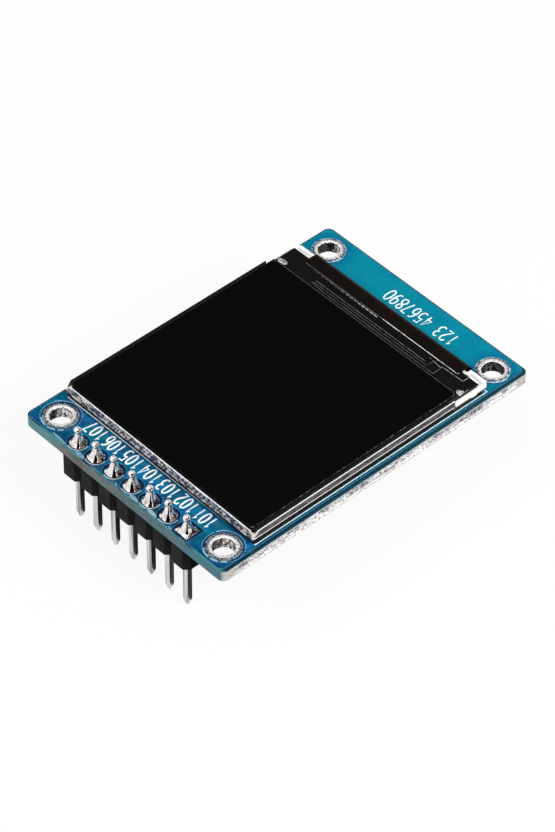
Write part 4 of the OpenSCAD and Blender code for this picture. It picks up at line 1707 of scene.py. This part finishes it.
@dataclass
class Studio:
    """Pale floor, black cards, soft lamps and the camera.

    The camera's lengths are in millimetres and all the others are in metres.
    """

    azimuth: float = 46.8376
    elevation: float = 44.7156
    roll: float = 0.7404
    distance: float = 371.1
    focus: Place = (1.10, -1.10, -0.35)
    lens: float = 169.9
    ambient: float = 0.42
    glow: float = 0.90
    floor_half: float = 1.2

    def build(self) -> None:
        """Builds the studio."""
        scene = bpy.context.scene
        scene.view_settings.view_transform = "Standard"
        self._world(scene)
        self._floor()
        self._cards()
        self._lamp("key", 100, 42, 0.42, 0.16, 1.55)
        self._lamp("fill", -20, 50, 0.45, 0.22, 0.8)
        self._camera(scene)

    def _toward(self, azimuth: float, elevation: float) -> Vector:
        """Gives the direction from the object to a place in the studio."""
        a, e = math.radians(azimuth), math.radians(elevation)
        return Vector((math.sin(a) * math.cos(e), -math.cos(a) * math.cos(e), math.sin(e)))

    def _world(self, scene: bpy.types.Scene) -> None:
        """Lights the scene evenly, and shows white to the camera, metal and glass.

        Args:
            scene: The scene that is lit.
        """
        world = bpy.data.worlds.new("studio")
        scene.world = world
        world.use_nodes = True
        tree = Tree(world.node_tree)
        seen = tree.background_rays()
        level = tree.node("MapRange", {"Value": seen, "To Min": self.ambient, "To Max": 1.0})
        back = tree.node("Background", {"Color": (1, 1, 1, 1), "Strength": level.outputs[0]})
        tree.node("OutputWorld", {"Surface": back.outputs[0]})

    def _floor(self) -> None:
        """Lays a white floor under the pins that keeps the object's soft shadow and is clear from below."""
        material = bpy.data.materials.new("floor")
        material.use_nodes = True
        tree = Tree(material.node_tree)
        share = tree.calc("MULTIPLY", tree.background_rays(), self.glow)
        plain = tree.node("BsdfDiffuse", {"Color": (0.8, 0.8, 0.8, 1)})
        bright = tree.node("Emission", {"Strength": 1.0})
        above = tree.node("MixShader", {0: share, 1: plain.outputs[0], 2: bright.outputs[0]})
        below = tree.node("BsdfTransparent")
        behind = tree.node("NewGeometry").outputs["Backfacing"]
        sides = tree.node("MixShader", {0: behind, 1: above.outputs[0], 2: below.outputs[0]})
        tree.node("OutputMaterial", {"Surface": sides.outputs[0]})
        level = (edges("pin_1").under - 0.02) * MM
        self._sheet("floor", [(*spot, level) for spot in square((0.0, 0.0), self.floor_half)], material)

    def _cards(self) -> None:
        """Places the black cards that only polished faces show; the grey one on the floor under the board is
        a painted shadow that they see in place of the floor's shade there.
        """
        self._facing_card("card_behind", self._toward(180 + self.azimuth, self.elevation), 0.30, 0.13, 0.11)
        self._facing_card("card_camera", self._toward(self.azimuth + 3, 30), 0.40, 0.25, 0.26)
        self._facing_card("card_right", self._toward(self.azimuth + 66, 38), 0.40, 0.22, 0.18)
        level = (edges("pin_1").under - 0.01) * MM
        # Painted shadow: a grey card under the board that polished faces see in place of the floor's shade.
        self._card("card_below_shadow", [(x * MM, y * MM, level) for x, y in block(-16, -17.9, 70, 90)], 0.06)
        side = self._toward(self.azimuth + 92, 0)
        start, end = (self._toward(self.azimuth + 2, 0) * d for d in (0.03, 0.42))
        reach = [(start, -0.011), (start, 0.011), (end, 0.17), (end, -0.17)]
        self._card("card_before", [(*(at + side * s).xy, level * 0.99) for at, s in reach])

    def _facing_card(self, name: str, way: Vector, away: float, wide: float, high: float) -> None:
        """Hangs one black card that faces the object.

        Args:
            name: Name of the card.
            way: Direction from the object.
            away: Distance.
            wide: Half its width.
            high: Half its height.
        """
        side = Vector((way.y, -way.x, 0)).normalized()
        rise = way.cross(side)
        self._card(name, [way * away + side * x + rise * y for x, y in block(-wide, -high, wide, high)])

    def _card(self, name: str, corners: Corners, grey: float = 0.0) -> None:
        """Makes a dark sheet that the camera, shadows and diffuse light pass by.

        Args:
            name: Name of the card.
            corners: Its four corners.
            grey: How light it is.
        """
        material = bpy.data.materials.new(name)
        material.use_nodes = True
        tree = Tree(material.node_tree)
        shader = tree.node("BsdfPrincipled", {"Base Color": (grey, grey, grey, 1), "Specular IOR Level": 0})
        tree.node("OutputMaterial", {"Surface": shader.outputs[0]})
        card = self._sheet(name, corners, material)
        card.visible_camera = False
        card.visible_diffuse = False
        card.visible_shadow = False
        card.visible_transmission = False

    def _sheet(self, name: str, corners: Corners, material: bpy.types.Material) -> bpy.types.Object:
        """Makes a flat sheet of the studio.

        Args:
            name: Name of the sheet.
            corners: Its four corners.
            material: Its material.

        Returns:
            The new object.
        """
        mesh = bpy.data.meshes.new(name)
        mesh.from_pydata([tuple(c) for c in corners], [], [(0, 1, 2, 3)])
        mesh.materials.append(material)
        sheet = placed(name, mesh)
        return sheet

    def _lamp(self, name: str, azimuth: float, elevation: float, away: float, size: float,
              power: float) -> None:
        """Hangs one square lamp that looks at the object.

        Args:
            name: Name of the lamp.
            azimuth: Direction from the object.
            elevation: Height above the horizon, in degrees.
            away: Distance.
            size: Side of the lamp.
            power: Its power in watts.
        """
        data = bpy.data.lights.new(name, "AREA")
        data.size = size
        data.energy = power
        way = self._toward(azimuth, elevation)
        turn = way.to_track_quat("Z", "Y").to_matrix().to_4x4()
        placed(name, data).matrix_world = Matrix.Translation(way * away) @ turn

    def _camera(self, scene: bpy.types.Scene) -> None:
        """Places the camera.

        Args:
            scene: The scene that it shows.
        """
        data = bpy.data.cameras.new("camera")
        data.lens = self.lens
        data.sensor_width = 36.0
        data.clip_start = 0.01
        data.clip_end = 10
        back = self._toward(self.azimuth, self.elevation)
        a, roll = math.radians(self.azimuth), math.radians(self.roll)
        flat = Vector((math.cos(a), math.sin(a), 0))
        up = back.cross(flat)
        right = flat * math.cos(roll) + up * math.sin(roll)
        top = up * math.cos(roll) - flat * math.sin(roll)
        place = Vector(self.focus) * MM + back * self.distance * MM
        scene.camera = placed("camera", data)
        turn = Matrix((right, top, back)).transposed().to_4x4()
        scene.camera.matrix_world = Matrix.Translation(place) @ turn


def main() -> None:
    """Builds the module and its studio."""
    logging.basicConfig(level=logging.INFO, format="%(name)s: %(message)s")
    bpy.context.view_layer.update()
    for part in (Board(), Header(), Display(), BackParts(), Studio()):
        part.build()


if __name__ == "__main__":
    main()
